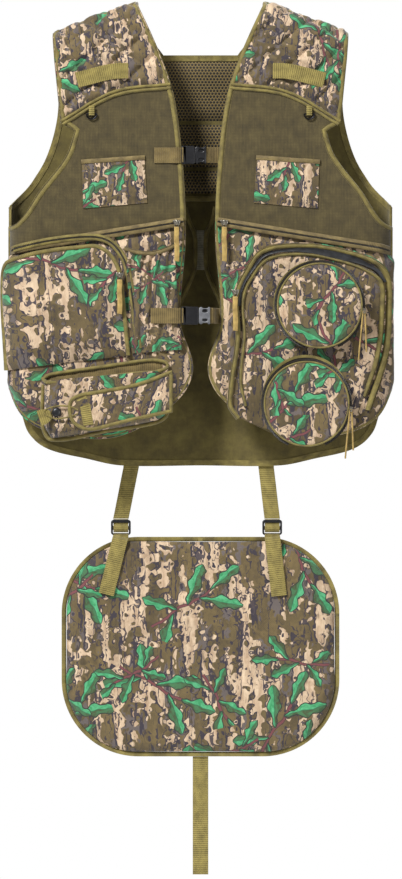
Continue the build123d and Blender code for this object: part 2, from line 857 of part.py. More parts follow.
tail_hinge_y = strap_plane - 9.0
tail_hinge_z = lock_bottom - 1.0
seat_face = strap_plane - seat_thickness / 2
with BuildPart() as strap_tails:
    for low_x, tilt in zip(lock_x, tail_tilt):
        turned = Plane(
            origin=(low_x, tail_hinge_y, tail_hinge_z),
            x_dir=(0, 1, 0),
            z_dir=(cos(radians(tilt)), 0, -sin(radians(tilt))),
        )
        front = seat_face - 3.2 - tail_hinge_y
        with BuildSketch(turned.offset(-half_webbing)):
            with BuildLine() as route:
                Polyline((0, 0), (front + 1.5, -5), (front, -12), (front, -5 - strap_tail_length))
            trace(route.line, webbing_thickness)
        extrude(amount=webbing_width)
save(strap_tails, "strap_tails")

with BuildPart() as tail_strap:
    tail_top = seat_top - seat_height - 2.5
    tail = [(-half_webbing, tail_top), (half_webbing, tail_top),
            (half_webbing, tail_top - tail_strap_length), (-half_webbing, tail_top - tail_strap_length)]
    add(slab(polygon(tail), strap_plane - half_strap, strap_plane + half_strap))
save(tail_strap, "tail_strap")

print(f"seat swing axis y={strap_plane} z={hinge_z}; fold axis z={lock_bar_z}; tail z={tail_top + 1}")
print(f"strap tails turn on y={tail_hinge_y} z={tail_hinge_z}; flap axis t={(flap_inner + flap_outer) / 2}")
print(f"lids turn on y={-face - lid_bottom} z={[c[1] - pot_radius for c in pots.values()]}")
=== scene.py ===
"""The looks of a turkey hunter's vest with a drop-down padded seat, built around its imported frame."""
from math import atan2, cos, hypot, pi, radians, sin, sqrt

import bpy
import numpy as np
from mathutils import Matrix, Vector, noise
from mathutils.geometry import delaunay_2d_cdt


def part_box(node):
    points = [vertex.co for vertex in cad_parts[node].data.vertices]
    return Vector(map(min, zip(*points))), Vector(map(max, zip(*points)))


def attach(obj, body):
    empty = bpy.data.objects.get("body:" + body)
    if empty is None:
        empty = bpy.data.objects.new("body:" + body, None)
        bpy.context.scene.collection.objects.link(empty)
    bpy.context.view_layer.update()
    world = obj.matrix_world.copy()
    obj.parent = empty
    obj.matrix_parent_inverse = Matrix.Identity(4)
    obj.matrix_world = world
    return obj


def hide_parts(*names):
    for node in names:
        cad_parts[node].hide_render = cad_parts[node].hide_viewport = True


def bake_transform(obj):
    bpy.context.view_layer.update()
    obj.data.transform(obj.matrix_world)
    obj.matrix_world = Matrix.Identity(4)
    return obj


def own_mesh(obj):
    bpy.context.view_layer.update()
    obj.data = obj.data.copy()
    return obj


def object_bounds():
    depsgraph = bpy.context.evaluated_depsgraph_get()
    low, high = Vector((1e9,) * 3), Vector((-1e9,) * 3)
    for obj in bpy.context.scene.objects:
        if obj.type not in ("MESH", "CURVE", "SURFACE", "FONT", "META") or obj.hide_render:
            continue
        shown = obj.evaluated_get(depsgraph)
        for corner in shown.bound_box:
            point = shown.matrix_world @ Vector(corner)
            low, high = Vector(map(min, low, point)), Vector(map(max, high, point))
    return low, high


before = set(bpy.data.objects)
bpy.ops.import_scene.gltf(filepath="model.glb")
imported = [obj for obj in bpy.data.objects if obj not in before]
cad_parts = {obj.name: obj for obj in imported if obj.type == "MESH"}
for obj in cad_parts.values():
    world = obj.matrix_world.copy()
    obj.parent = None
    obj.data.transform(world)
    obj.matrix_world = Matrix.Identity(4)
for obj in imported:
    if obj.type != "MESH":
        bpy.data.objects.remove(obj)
cad_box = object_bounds()


# Back of the vest ---------------------------------------------------------------------------------
# One wide panel of plain-woven olive polyester, cut to the vest's outline and sewn to the fronts at
# the sides and shoulders. It hangs as on a body: a flat face, round sides and arched shoulders.

MM = 0.001
WAVE = pi / 10       # the wave texture's scale for one wave in each unit
FLAT = 40.0          # how far the flat faces stand from the shoulder line
ARC_START = 265.0    # where the round side begins
NECK = 102.0         # half the neck's width, where the shoulder's ridge starts
NECK_TOP = 7.0
SHOULDER = 238.0
DROP = 51.0
LEAN = atan2(DROP, SHOULDER - NECK)
BACK_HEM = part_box("back_bindings")[0].z / MM


def along_and_up(q):
    """Height above the shoulder's ridge line for flat-pattern points, and the way it is measured."""
    way = np.stack([np.sign(q[:, 0]) * sin(LEAN), np.full(len(q), cos(LEAN))], 1)
    return (np.abs(q[:, 0]) - NECK) * sin(LEAN) + (q[:, 1] - NECK_TOP) * cos(LEAN), way


def flatten(points, level=4.0):
    """The flat cloth pattern of an outline seen from the front, at an offset out from the lining."""
    q = np.array(points, float)
    reach = FLAT + level
    height, way = along_and_up(q)
    arched = (height > -FLAT) & (np.abs(q[:, 0]) < ARC_START)
    rolled = -FLAT + FLAT * np.arcsin(np.clip((height + FLAT) / reach, -1, 1))
    q = np.where(arched[:, None], q + way * (rolled - height)[:, None], q)
    x = np.abs(q[:, 0])
    turned = ARC_START + FLAT * np.arcsin(np.clip((x - ARC_START) / reach, -1, 0.9999))
    q[:, 0] = np.sign(q[:, 0]) * np.where(x > ARC_START, turned, x)
    return q


def place(q, level, back=False):
    """Where flat-pattern points lie on the vest, in metres, at offsets out from the lining."""
    q = np.array(q, float)
    level = np.broadcast_to(level, len(q))
    height, way = along_and_up(q)
    reach = FLAT + level
    x = np.abs(q[:, 0])
    arched = (height > -FLAT) & (x < ARC_START)
    turn = np.where(arched, (height + FLAT) / FLAT, np.where(x > ARC_START, (x - ARC_START) / FLAT, 0))
    turn = np.clip(turn, 0, pi / 2)
    out = reach * np.cos(turn)
    flat = q.copy()
    shift = np.where(arched, reach * np.sin(turn) - FLAT - height, 0)
    flat += way * shift[:, None]
    wrapped = np.sign(q[:, 0]) * (ARC_START + reach * np.sin(turn))
    flat[:, 0] = np.where(x > ARC_START, wrapped, flat[:, 0])
    side = 1 if back else -1
    return np.stack([flat[:, 0], side * np.maximum(out, 0.4), flat[:, 1]], 1) * MM


def curve(points, side=1, closed=True, sharp=48, step=5.0):
    """An outline that runs smoothly through its points, and keeps its sharp corners."""
    p = np.array([(side * x, z) for x, z in points], float)
    n = len(p)
    before, after = np.roll(p, 1, 0), np.roll(p, -1, 0)
    a, b = p - before, after - p
    turn = np.degrees(np.abs(np.arctan2(a[:, 0] * b[:, 1] - a[:, 1] * b[:, 0], (a * b).sum(1))))
    tangent = (after - before) / 2
    corner = turn > sharp
    if not closed:
        corner[0] = corner[-1] = True
    made = []
    for i in range(n if closed else n - 1):
        j = (i + 1) % n
        run = p[j] - p[i]
        length = hypot(*run)
        unit = [run if corner[k] else tangent[k] * length / max(hypot(*tangent[k]), 1e-6) for k in (i, j)]
        count = max(int(length / step), 1)
        for u in np.arange(count) / count:
            made.append((2 * u**3 - 3 * u**2 + 1) * p[i] + (u**3 - 2 * u**2 + u) * unit[0]
                        + (3 * u**2 - 2 * u**3) * p[j] + (u**3 - u**2) * unit[1])
    if not closed:
        made.append(p[-1])
    return np.array(made)


def inside(line, q):
    """Whether flat points lie inside a closed outline."""
    a, b = line, np.roll(line, -1, 0)
    x, z = q[:, 0:1], q[:, 1:2]
    crosses = (a[:, 1] > z) != (b[:, 1] > z)
    with np.errstate(divide="ignore", invalid="ignore"):
        at = a[:, 0] + (z - a[:, 1]) * (b[:, 0] - a[:, 0]) / (b[:, 1] - a[:, 1])
    return (crosses & (x < at)).sum(1) % 2 == 1


def distance(q, a, b):
    """How far each flat point is from the nearest of the stretches from a to b."""
    run = b - a
    best = np.full(len(q), 1e9)
    for start in range(0, len(a), 64):
        p, r = a[start:start + 64], run[start:start + 64]
        offset = q[:, None] - p
        u = np.clip((offset * r).sum(2) / np.maximum((r * r).sum(1), 1e-9), 0, 1)
        best = np.minimum(best, np.linalg.norm(offset - u[..., None] * r, axis=2).min(1))
    return best


def ease(value):
    """From 0 to 1 and level at both ends."""
    value = np.clip(value, 0, 1)
    return value * value * (3 - 2 * value)


def finish_mesh(name, verts, faces, uvs, sharp=50):
    """A closed mesh with outward normals and a pattern map in metres."""
    mesh = bpy.data.meshes.new(name)
    mesh.from_pydata([tuple(v) for v in verts], [], [tuple(f) for f in faces])
    layer = mesh.uv_layers.new(name="cut")
    corners = np.zeros(len(mesh.loops), int)
    mesh.loops.foreach_get("vertex_index", corners)
    layer.data.foreach_set("uv", np.asarray(uvs, np.float32)[corners].ravel())
    mesh.update()
    volume = sum(np.dot(verts[f[0]], np.cross(verts[f[k]], verts[f[k + 1]]))
                 for f in faces for k in range(1, len(f) - 1))
    if volume < 0:
        mesh.flip_normals()
    mesh.polygons.foreach_set("use_smooth", [True] * len(mesh.polygons))
    mesh.set_sharp_from_angle(angle=radians(sharp))
    made = bpy.data.objects.new(name, mesh)
    bpy.context.scene.collection.objects.link(made)
    return made


def cut_cloth(name, lines, keep, level, under=0.0, back=False, step=6.0):
    """Cloth cut along outlines: `keep` says where it is, `level` how far out its face stands."""
    points = np.concatenate(lines)
    edges, start = [], 0
    for line in lines:
        edges += [(start + i, start + (i + 1) % len(line)) for i in range(len(line))]
        start += len(line)
    low, high = points.min(0), points.max(0)
    rows = np.arange(low[1], high[1], step * sqrt(0.75))
    grid = np.array([(x + (k % 2) * step / 2, z) for k, z in enumerate(rows)
                     for x in np.arange(low[0], high[0], step)])
    a, b = points[[e[0] for e in edges]], points[[e[1] for e in edges]]
    grid = grid[keep(grid)]
    grid = grid[distance(grid, a, b) > 0.55 * step]
    flat, _, faces, *_ = delaunay_2d_cdt([Vector(p) for p in np.concatenate([points, grid])],
                                         edges, [], 0, 0.01)
    flat = np.array([tuple(v) for v in flat])
    faces = np.array(faces)
    corners = flat[faces]
    edge_a, edge_b = corners[:, 1] - corners[:, 0], corners[:, 2] - corners[:, 0]
    area = np.abs(edge_a[:, 0] * edge_b[:, 1] - edge_a[:, 1] * edge_b[:, 0])
    faces = faces[keep(corners.mean(1)) & (area > 1e-3)]
    used, where = np.unique(faces, return_inverse=True)
    flat, faces = flat[used], where.reshape(-1, 3)
    halves = {}
    for f in faces:
        for i in range(3):
            halves[(f[i], f[(i + 1) % 3])] = True
    rim = np.array([e for e in halves if (e[1], e[0]) not in halves])
    inset = distance(flat, flat[rim[:, 0]], flat[rim[:, 1]])
    top = place(flat, level(flat, inset), back)
    bottom = place(flat, under(flat, inset) if callable(under) else under, back)
    n = len(flat)
    built = [tuple(f) for f in faces] + [tuple(f[::-1] + n) for f in faces]
    built += [(u + n, v + n, v, u) for u, v in rim]
    return finish_mesh(name, np.concatenate([top, bottom]), built, np.tile(flat * MM, (2, 1)))


def colour(text):
    """A hex sRGB colour as linear red, green, blue and alpha."""
    parts = [int(text[i:i + 2], 16) / 255 for i in (1, 3, 5)]
    return [c / 12.92 if c <= 0.04045 else ((c + 0.055) / 1.055) ** 2.4 for c in parts] + [1.0]


def add(tree, kind, links=None, out=0, stops=(), **settings):
    """One shader node with its settings, a value or a socket for each input named, and its colour
    stops, each a position and a hex colour. It gives back one output."""
    made = tree.nodes.new("ShaderNode" + kind)
    for key, value in settings.items():
        setattr(made, key, value)
    for key, value in (links or {}).items():
        if isinstance(value, bpy.types.NodeSocket):
            tree.links.new(value, made.inputs[key])
        else:
            made.inputs[key].default_value = value
    for k, (position, text) in enumerate(stops):
        ramp = made.color_ramp.elements
        stop = ramp[k] if k < 2 else ramp.new(0.5)
        stop.position = position
        stop.color = colour(text)
    return made.outputs[out]


def new_material(name, roughness, **shader):
    """An empty material with its shader: the material, its tree and the shader."""
    material = bpy.data.materials.new(name)
    material.use_nodes = True
    tree = material.node_tree
    surface = tree.nodes["Principled BSDF"]
    surface.inputs["Roughness"].default_value = roughness
    for key, value in shader.items():
        surface.inputs[key.replace("_", " ")].default_value = value
    return material, tree, surface


def pattern_size(tree, width, height, turn=0.0):
    """Pattern coordinates in which one unit is a real width and height in millimetres."""
    uv = add(tree, "UVMap", uv_map="cut")
    return add(tree, "Mapping", {"Vector": uv, "Scale": (1 / (width * MM), 1 / (height * MM), 1),
                                 "Rotation": (0, 0, radians(turn))})


def plain_weave(name, dark, mid, light, thread=1.8, slub=26.0, streaky=0.3):
    """Polyester cloth of crossed threads. The threads are drawn a few times coarser than real
    ones, so that they show, with painted light on their crossings and painted shade between them,
    over slow changes of tone where the cloth has rubbed and lost colour."""
    material, tree, surface = new_material(name, 0.88, Sheen_Weight=0.25, Sheen_Roughness=0.5)
    threads = pattern_size(tree, thread, thread)
    along = add(tree, "TexWave", {"Vector": threads, "Scale": WAVE, "Distortion": 1.2,
                                  "Detail": 1.0}, wave_type="BANDS", bands_direction="X")
    across = add(tree, "TexWave", {"Vector": threads, "Scale": WAVE, "Distortion": 1.2,
                                   "Detail": 1.0}, wave_type="BANDS", bands_direction="Y")
    weave = add(tree, "Math", {0: along, 1: across}, operation="MULTIPLY")
    shade = add(tree, "TexNoise", {"Vector": pattern_size(tree, slub, slub), "Scale": 1.0,
                                   "Detail": 5.0, "Roughness": 0.62})
    streak = add(tree, "TexNoise", {"Vector": pattern_size(tree, 3.0, 24.0), "Scale": 1.0, "Detail": 3.0})
    tone = add(tree, "Math", {0: streak, 1: streaky, 2: shade}, operation="MULTIPLY_ADD")
    tone = add(tree, "MapRange", {"Value": tone, "From Min": 0.3 + 0.36 * streaky,
                                  "From Max": 0.7 + 0.64 * streaky})
    base = add(tree, "ValToRGB", {0: tone}, stops=((0.0, dark), (0.5, mid), (1.0, light)))
    # The weave's raised threads are painted lighter and the gaps between them darker: painted light and
    # shade, over the bump from the same weave.
    weave_light_and_shade = add(tree, "MapRange", {"Value": weave, "To Min": 0.72, "To Max": 1.12})
    final = add(tree, "VectorMath", {0: base, "Scale": weave_light_and_shade}, operation="SCALE")
    tree.links.new(final, surface.inputs["Base Color"])
    bump = add(tree, "Bump", {"Height": weave, "Distance": 0.25 * MM, "Strength": 1.0})
    tree.links.new(bump, surface.inputs["Normal"])
    return material


def wrinkle(q, size, depth, seed=0.0):
    """Soft folds of a size and depth in millimetres, the same on each run."""
    return depth * np.array([noise.noise(Vector((x / size, z / size, seed))) for x, z in q])


def dress(piece, material, slot, body=None, *nodes):
    """Give a piece its material, its body and the frame nodes it replaces; `slot`, the slot it stands for,
    is not used.
    """
    piece.data.materials.clear()
    piece.data.materials.append(material)
    if body:
        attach(piece, body)
    if nodes:
        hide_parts(*nodes)
    return piece


def ridge(x):
    """Height of the shoulder's ridge line at a distance from the middle."""
    return NECK_TOP - (x - NECK) * DROP / (SHOULDER - NECK) + 4.3


back_half = [
    (0, -74), (60, -74), (84, -40), (NECK, NECK_TOP), (NECK, ridge(NECK)), (SHOULDER, ridge(SHOULDER)),
    (SHOULDER, NECK_TOP - DROP), (229, -134), (232, -182), (249, -240), (275, -282), (309, -318),
    (309, -328), (309, -585), (308, -612), (291, -650), (278, -683), (247, -708), (184, -724),
    (128, BACK_HEM), (0, BACK_HEM),
]
back_whole = back_half + [(-x, z) for x, z in reversed(back_half[1:-1])]
back_cut = flatten(curve(back_whole))
plain_olive = plain_weave("plain_woven_polyester_olive", "#50461F", "#665A29", "#786C34", streaky=0.12)


def back_face(q, inset):
    """The skirt hangs in soft folds that run down to the seat straps."""
    folds = wrinkle(q * (1, 0.25), 46, 2.2) + wrinkle(q, 90, 1.2, 5.0)
    return 1.6 + 0.9 * ease(inset / 8) + folds * ease((-q[:, 1] - 330) / 90) * ease(inset / 30)


back_panel = cut_cloth("back_panel_cloth", [back_cut], lambda q: inside(back_cut, q), back_face,
                       under=0.0, back=True, step=8.0)
dress(back_panel, plain_olive, "olive_cloth", "vest_back", "back_panel")


# Back pads ----------------------------------------------------------------------------------------
# Three cushions of thick spacer mesh down the middle of the back, sewn down round their edges so
# that they puff between the seams. Air moves through their open, honeycomb-like face.

def box_middle(node):
    """The middle and the size of a frame node's box, in metres."""
    low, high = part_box(node)
    return (low + high) / 2, high - low


def honeycomb(name, dark, thread, light):
    """Knitted spacer mesh: a pale lattice of threads round dark, shadowed holes."""
    material, tree, surface = new_material(name, 0.8, Sheen_Weight=0.2)
    cells = pattern_size(tree, 5.4, 5.4 * sqrt(3))
    rings = []
    for shift in (0.0, 0.5):
        moved = add(tree, "VectorMath", {0: cells, 1: (shift, shift, 0)}, operation="ADD")
        part = add(tree, "VectorMath", {0: moved}, operation="FRACTION")
        centred = add(tree, "VectorMath", {0: part, 1: (0.5, 0.5, 0)}, operation="SUBTRACT")
        even = add(tree, "VectorMath", {0: centred, 1: (1.0, sqrt(3), 0)}, operation="MULTIPLY")
        rings.append(add(tree, "VectorMath", {0: even}, out="Value", operation="LENGTH"))
    nearest = add(tree, "Math", {0: rings[0], 1: rings[1]}, operation="MINIMUM")
    base = add(tree, "ValToRGB", {0: nearest},
               stops=((0.0, dark), (0.26, dark), (0.36, thread), (0.56, light)))
    tree.links.new(base, surface.inputs["Base Color"])
    hole = add(tree, "MapRange", {"Value": nearest, "From Min": 0.22, "From Max": 0.4})
    bump = add(tree, "Bump", {"Height": hole, "Distance": 1.2 * MM, "Strength": 1.0})
    tree.links.new(bump, surface.inputs["Normal"])
    return material


def rounded_rectangle(width, height, corner, middle=(0.0, 0.0), step=5.0):
    """An outline with arcs for corners."""
    turns = []
    for quarter in range(4):
        angle = quarter * pi / 2
        cx = (width / 2 - corner) * (1 if quarter in (0, 3) else -1)
        cz = (height / 2 - corner) * (1 if quarter in (0, 1) else -1)
        count = max(int(corner * pi / 2 / step), 3)
        for i in range(count + 1):
            a = angle + i * pi / 2 / count
            turns.append((middle[0] + cx + corner * cos(a), middle[1] + cz + corner * sin(a)))
    even = []
    for (x0, z0), (x1, z1) in zip(turns, turns[1:] + turns[:1]):
        count = max(int(hypot(x1 - x0, z1 - z0) / step), 1)
        even += [(x0 + (x1 - x0) * i / count, z0 + (z1 - z0) * i / count) for i in range(count)]
    return np.array(even)


spacer_mesh = honeycomb("knitted_spacer_mesh", "#120E08", "#544523", "#7D6A3A")
pads_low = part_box("back_pads")[0]
pad_rows = [(78, -84, -179), (96, -186, -254), (96, -260, -297)]
PAD_CROWN = min(-(FLAT - pads_low.y / MM) - 0.6, -6.0)

for number, (half, pad_top, pad_bottom) in enumerate(pad_rows, 1):
    pad_cut = rounded_rectangle(2 * half, pad_top - pad_bottom, 12, (0, (pad_top + pad_bottom) / 2))
    pad = cut_cloth(f"back_pad_{number}", [pad_cut], lambda q: inside(pad_cut, q),
                    lambda q, inset: -0.4, under=-0.4, back=True, step=6.0)
    count = len(pad.data.vertices) // 2
    flat_points = np.array([(v.co.x / MM, v.co.z / MM) for v in pad.data.vertices])[count:]
    depth = distance(flat_points, pad_cut, np.roll(pad_cut, -1, 0))
    puff = PAD_CROWN * (1 - (1 - np.clip(depth / 22, 0, 1)) ** 2.2) + wrinkle(flat_points, 30, 0.7)
    for vertex, y in zip(list(pad.data.vertices)[count:], puff):
        vertex.co.y = (FLAT - 0.5 + y) * MM
    pad.data.update()
    dress(pad, spacer_mesh, "spacer_mesh", "vest_back")
    if number == 1:
        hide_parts("back_pads")


# Printed cloth ------------------------------------------------------------------------------------
# The camouflage is brushed polyester, printed after weaving. Upright patches of pale and brown bark
# with dark cracks lie under loose sprigs of leaves on reddish twigs.

def leaf_print():
    """The print as a group: pattern coordinates in millimetres in, colour out."""
    tree = bpy.data.node_groups.new("bark_and_leaf_print", "ShaderNodeTree")
    tree.interface.new_socket("Place", in_out="INPUT", socket_type="NodeSocketVector")
    tree.interface.new_socket("Color", in_out="OUTPUT", socket_type="NodeSocketColor")
    start = tree.nodes.new("NodeGroupInput").outputs[0]

    # A slow wander, so that no edge runs straight
    spread = add(tree, "VectorMath", {0: start, "Scale": 1 / 16.0}, operation="SCALE")
    wander = add(tree, "TexNoise", {"Vector": spread, "Scale": 1.0, "Detail": 1.5}, out="Color")
    centred = add(tree, "VectorMath", {0: wander, 1: (0.5, 0.5, 0.5)}, operation="SUBTRACT")
    jitter = add(tree, "VectorMath", {0: centred, "Scale": 9.0}, operation="SCALE")
    slight = add(tree, "VectorMath", {0: jitter, "Scale": 0.42}, operation="SCALE")
    bark = add(tree, "VectorMath", {0: start, 1: slight}, operation="ADD")
    beside = add(tree, "VectorMath", {0: bark, 1: (2.4, 1.2, 0)}, operation="ADD")

    # Bark grain: where each is read, its width and height in mm, detail, roughness and shift
    grain = {}
    for name, read_at, width, height, detail, rough, shift in (
            ("ground", bark, 30, 96, 3.0, 0.5, 0.0), ("grey", bark, 18, 76, 2.0, 0.45, 41.0),
            ("rim", beside, 17, 108, 1.3, 0.36, 7.0), ("pale", bark, 17, 108, 1.3, 0.36, 7.0),
            ("pale_shade", bark, 8, 40, 3.0, 0.6, 19.0), ("crack", bark, 11, 120, 1.6, 0.45, 83.0),
            ("crack_width", bark, 16, 30, 1.0, 0.5, 63.0), ("streak", bark, 4.0, 34, 2.0, 0.6, 117.0)):
        sized = add(tree, "Mapping", {"Vector": read_at, "Scale": (1 / width, 1 / height, 1),
                                      "Location": (shift, shift, 0)})
        grain[name] = add(tree, "TexNoise", {"Vector": sized, "Scale": 1.0, "Detail": detail,
                                             "Roughness": rough})
    mask = {}
    for name, at, softness in (("grey", 0.60, 0.012), ("rim", 0.53, 0.008), ("pale", 0.545, 0.008),
                               ("streak", 0.66, 0.03)):
        mask[name] = add(tree, "MapRange", {"Value": grain[name], "From Min": at - softness,
                                            "From Max": at + softness})
    mask["streak"] = add(tree, "Math", {0: mask["streak"], 1: 0.6}, operation="MULTIPLY")
    off_line = add(tree, "Math", {0: grain["crack"], 1: 0.5}, operation="SUBTRACT")
    off_line = add(tree, "Math", {0: off_line}, operation="ABSOLUTE")
    thick = add(tree, "Math", {0: grain["crack_width"], 1: 0.16, 2: -0.060}, operation="MULTIPLY_ADD")
    crack = add(tree, "Math", {0: off_line, 1: thick}, operation="LESS_THAN")
    mask["crack"] = add(tree, "Math", {0: crack, 1: 0.92}, operation="MULTIPLY")

    # Bark colours: brown ground, grey-purple shade, pale patches with a dark edge, and cracks
    print_colour = add(tree, "ValToRGB", {0: grain["ground"]},
                       stops=((0.32, "#473A20"), (0.52, "#5F4E2B"), (0.72, "#705E37")))
    pale = add(tree, "ValToRGB", {0: grain["pale_shade"]},
               stops=((0.3, "#A2866A"), (0.55, "#C6AB8B"), (0.75, "#D9C1A2")))
    for name, tint in (("grey", colour("#5E5450")), ("rim", colour("#2B2430")), ("pale", pale),
                       ("crack", colour("#292230")), ("streak", colour("#3D3328"))):
        print_colour = add(tree, "Mix", {0: mask[name], 6: print_colour, 7: tint}, out=2,
                           data_type="RGBA")

    # Sprigs: each stands in a cell of its own, turned its own way
    for layer, (cell, turn, chance) in enumerate(((165.0, 0.0, 0.72), (120.0, 2.1, 0.5))):
        shifted = add(tree, "VectorMath", {0: start, 1: (37.0 * layer + 11.0, 53.0 * layer, 0)},
                      operation="ADD")
        sized = add(tree, "VectorMath", {0: shifted, "Scale": 1 / cell}, operation="SCALE")
        middle = add(tree, "TexVoronoi", {"Vector": sized, "Scale": 1.0, "Randomness": 0.55},
                     out="Position", voronoi_dimensions="2D")
        away = add(tree, "VectorMath", {0: sized, 1: middle}, operation="SUBTRACT")
        away = add(tree, "VectorMath", {0: away, "Scale": cell}, operation="SCALE")
        bend = add(tree, "VectorMath", {0: jitter, "Scale": 0.8}, operation="SCALE")
        away = add(tree, "VectorMath", {0: away, 1: bend}, operation="ADD")
        drawn = add(tree, "SeparateColor", {0: middle.node.outputs["Color"]})
        shown = add(tree, "Math", {0: drawn, 1: chance}, operation="LESS_THAN")
        angle = add(tree, "Math", {0: drawn.node.outputs[1], 1: 2.4, 2: turn - 1.2},
                    operation="MULTIPLY_ADD")
        local = add(tree, "VectorRotate", {"Vector": away, "Angle": angle}, rotation_type="Z_AXIS")
        x = add(tree, "SeparateXYZ", {0: local})

        # a reddish twig in a dark outline, swaying as it runs
        sway = add(tree, "Math", {0: x, 1: 0.09}, operation="MULTIPLY")
        sway = add(tree, "Math", {0: sway}, operation="SINE")
        near = add(tree, "Math", {0: sway, 1: 2.0, 2: x.node.outputs[1]}, operation="MULTIPLY_ADD")
        near = add(tree, "Math", {0: near}, operation="ABSOLUTE")
        reach = add(tree, "Math", {0: x}, operation="ABSOLUTE")
        reach = add(tree, "Math", {0: reach, 1: 0.40 * cell}, operation="LESS_THAN")
        reach = add(tree, "Math", {0: reach, 1: shown}, operation="MULTIPLY")
        for half_width, tint in ((2.3, "#3A2428"), (1.5, "#6E3A3C")):
            twig = add(tree, "Math", {0: near, 1: half_width}, operation="LESS_THAN")
            twig = add(tree, "Math", {0: twig, 1: reach}, operation="MULTIPLY")
            print_colour = add(tree, "Mix", {0: twig, 6: print_colour, 7: colour(tint)}, out=2,
                               data_type="RGBA")

        # lobed leaves, bright on one side of the vein: foot on the twig, turn, length and width
        for foot, way, length, width in ((-4, 0.62, 0.40, 0.062), (12, -0.75, 0.40, 0.060),
                                         (-20, -2.45, 0.38, 0.056), (-14, 2.25, 0.34, 0.056),
                                         (26, 0.15, 0.34, 0.058)):
            moved = add(tree, "VectorMath", {0: local, 1: (foot * cell / 118, 0, 0)},
                        operation="SUBTRACT")
            leaf = add(tree, "VectorRotate", {"Vector": moved, "Angle": -way}, rotation_type="Z_AXIS")
            along = add(tree, "SeparateXYZ", {0: leaf})
            across = along.node.outputs[1]
            along = add(tree, "Math", {0: along, 1: length * cell}, operation="DIVIDE")
            half = lobes = along
            for operation, value in (("MAXIMUM", 0.0), ("POWER", 1.5), ("MULTIPLY", pi), ("SINE", 0.0),
                                     ("MAXIMUM", 0.0), ("POWER", 0.72)):
                half = add(tree, "Math", {0: half, 1: value}, operation=operation)
            for operation, value in (("MULTIPLY", 16.0), ("SINE", 0.0), ("MULTIPLY", 0.26),
                                     ("ADD", 0.86), ("MULTIPLY", width * cell)):
                lobes = add(tree, "Math", {0: lobes, 1: value}, operation=operation)
            before_tip = add(tree, "Math", {0: along, 1: 1.0}, operation="LESS_THAN")
            for part in (before_tip, lobes):
                half = add(tree, "Math", {0: half, 1: part}, operation="MULTIPLY")
            past_foot = add(tree, "Math", {0: along, 1: 0.0}, operation="GREATER_THAN")
            wide = add(tree, "Math", {0: half, 1: 0.3}, operation="GREATER_THAN")
            there = shown
            for part in (past_foot, wide):
                there = add(tree, "Math", {0: there, 1: part}, operation="MULTIPLY")
            off_vein = add(tree, "Math", {0: across}, operation="ABSOLUTE")
            inward = add(tree, "Math", {0: half, 1: off_vein}, operation="SUBTRACT")
            outline = add(tree, "Math", {0: inward, 1: -1.1}, operation="GREATER_THAN")
            outline = add(tree, "Math", {0: outline, 1: there}, operation="MULTIPLY")
            body = add(tree, "Math", {0: inward, 1: 0.5}, operation="GREATER_THAN")
            body = add(tree, "Math", {0: body, 1: there}, operation="MULTIPLY")
            vein = add(tree, "Math", {0: off_vein, 1: 0.65}, operation="LESS_THAN")
            for part in (body, 0.8):
                vein = add(tree, "Math", {0: vein, 1: part}, operation="MULTIPLY")
            lit = add(tree, "Math", {0: across, 1: 0.0}, operation="GREATER_THAN")
            sized = add(tree, "Mapping", {"Vector": leaf, "Scale": (1 / 14, 1 / 5, 1),
                                          "Location": (3.0, 3.0, 0)})
            fleck = add(tree, "TexNoise", {"Vector": sized, "Scale": 1.0, "Detail": 2.0,
                                           "Roughness": 0.5})
            green = add(tree, "ValToRGB", {0: fleck}, stops=((0.35, "#2C8753"), (0.6, "#4FA673")))
            shade = add(tree, "ValToRGB", {0: fleck}, stops=((0.35, "#394322"), (0.6, "#3A6A42")))
            tone = add(tree, "Mix", {0: lit, 6: shade, 7: green}, out=2, data_type="RGBA")
            for part, tint in ((outline, colour("#1F2A20")), (body, tone), (vein, colour("#24603F"))):
                print_colour = add(tree, "Mix", {0: part, 6: print_colour, 7: tint}, out=2,
                                   data_type="RGBA")

    tree.links.new(print_colour, tree.nodes.new("NodeGroupOutput").inputs[0])
    return tree


bark_and_leaf = leaf_print()


def printed_cloth(name, shift=(0.0, 0.0), turn=0.0, scale=1.0):
    """Brushed, printed polyester: matt, with a faint sheen and a close weave under the ink."""
    material, tree, surface = new_material(name, 0.82, Sheen_Weight=0.18, Sheen_Roughness=0.6)
    uv = add(tree, "UVMap", uv_map="cut")
    placed = add(tree, "Mapping", {"Vector": uv, "Scale": (scale / MM, scale / MM, 1),
                                   "Rotation": (0, 0, radians(turn)), "Location": (*shift, 0)})
    print_group = tree.nodes.new("ShaderNodeGroup")
    print_group.node_tree = bark_and_leaf
    tree.links.new(placed, print_group.inputs[0])
    threads = add(tree, "TexWave", {"Vector": pattern_size(tree, 1.6, 1.6), "Scale": WAVE,
                                    "Distortion": 2.0},
                  wave_type="BANDS", bands_direction="DIAGONAL")
    worn = add(tree, "TexNoise", {"Vector": pattern_size(tree, 30, 30), "Scale": 1.0, "Detail": 4.0})
    lift = add(tree, "MapRange", {"Value": worn, "From Min": 0.3, "From Max": 0.7, "To Min": 0.86,
                                  "To Max": 1.08})
    ink = add(tree, "VectorMath", {0: print_group.outputs[0], "Scale": lift}, operation="SCALE")
    tree.links.new(ink, surface.inputs["Base Color"])
    bump = add(tree, "Bump", {"Height": threads, "Distance": 0.12 * MM, "Strength": 1.0})
    tree.links.new(bump, surface.inputs["Normal"])
    return material
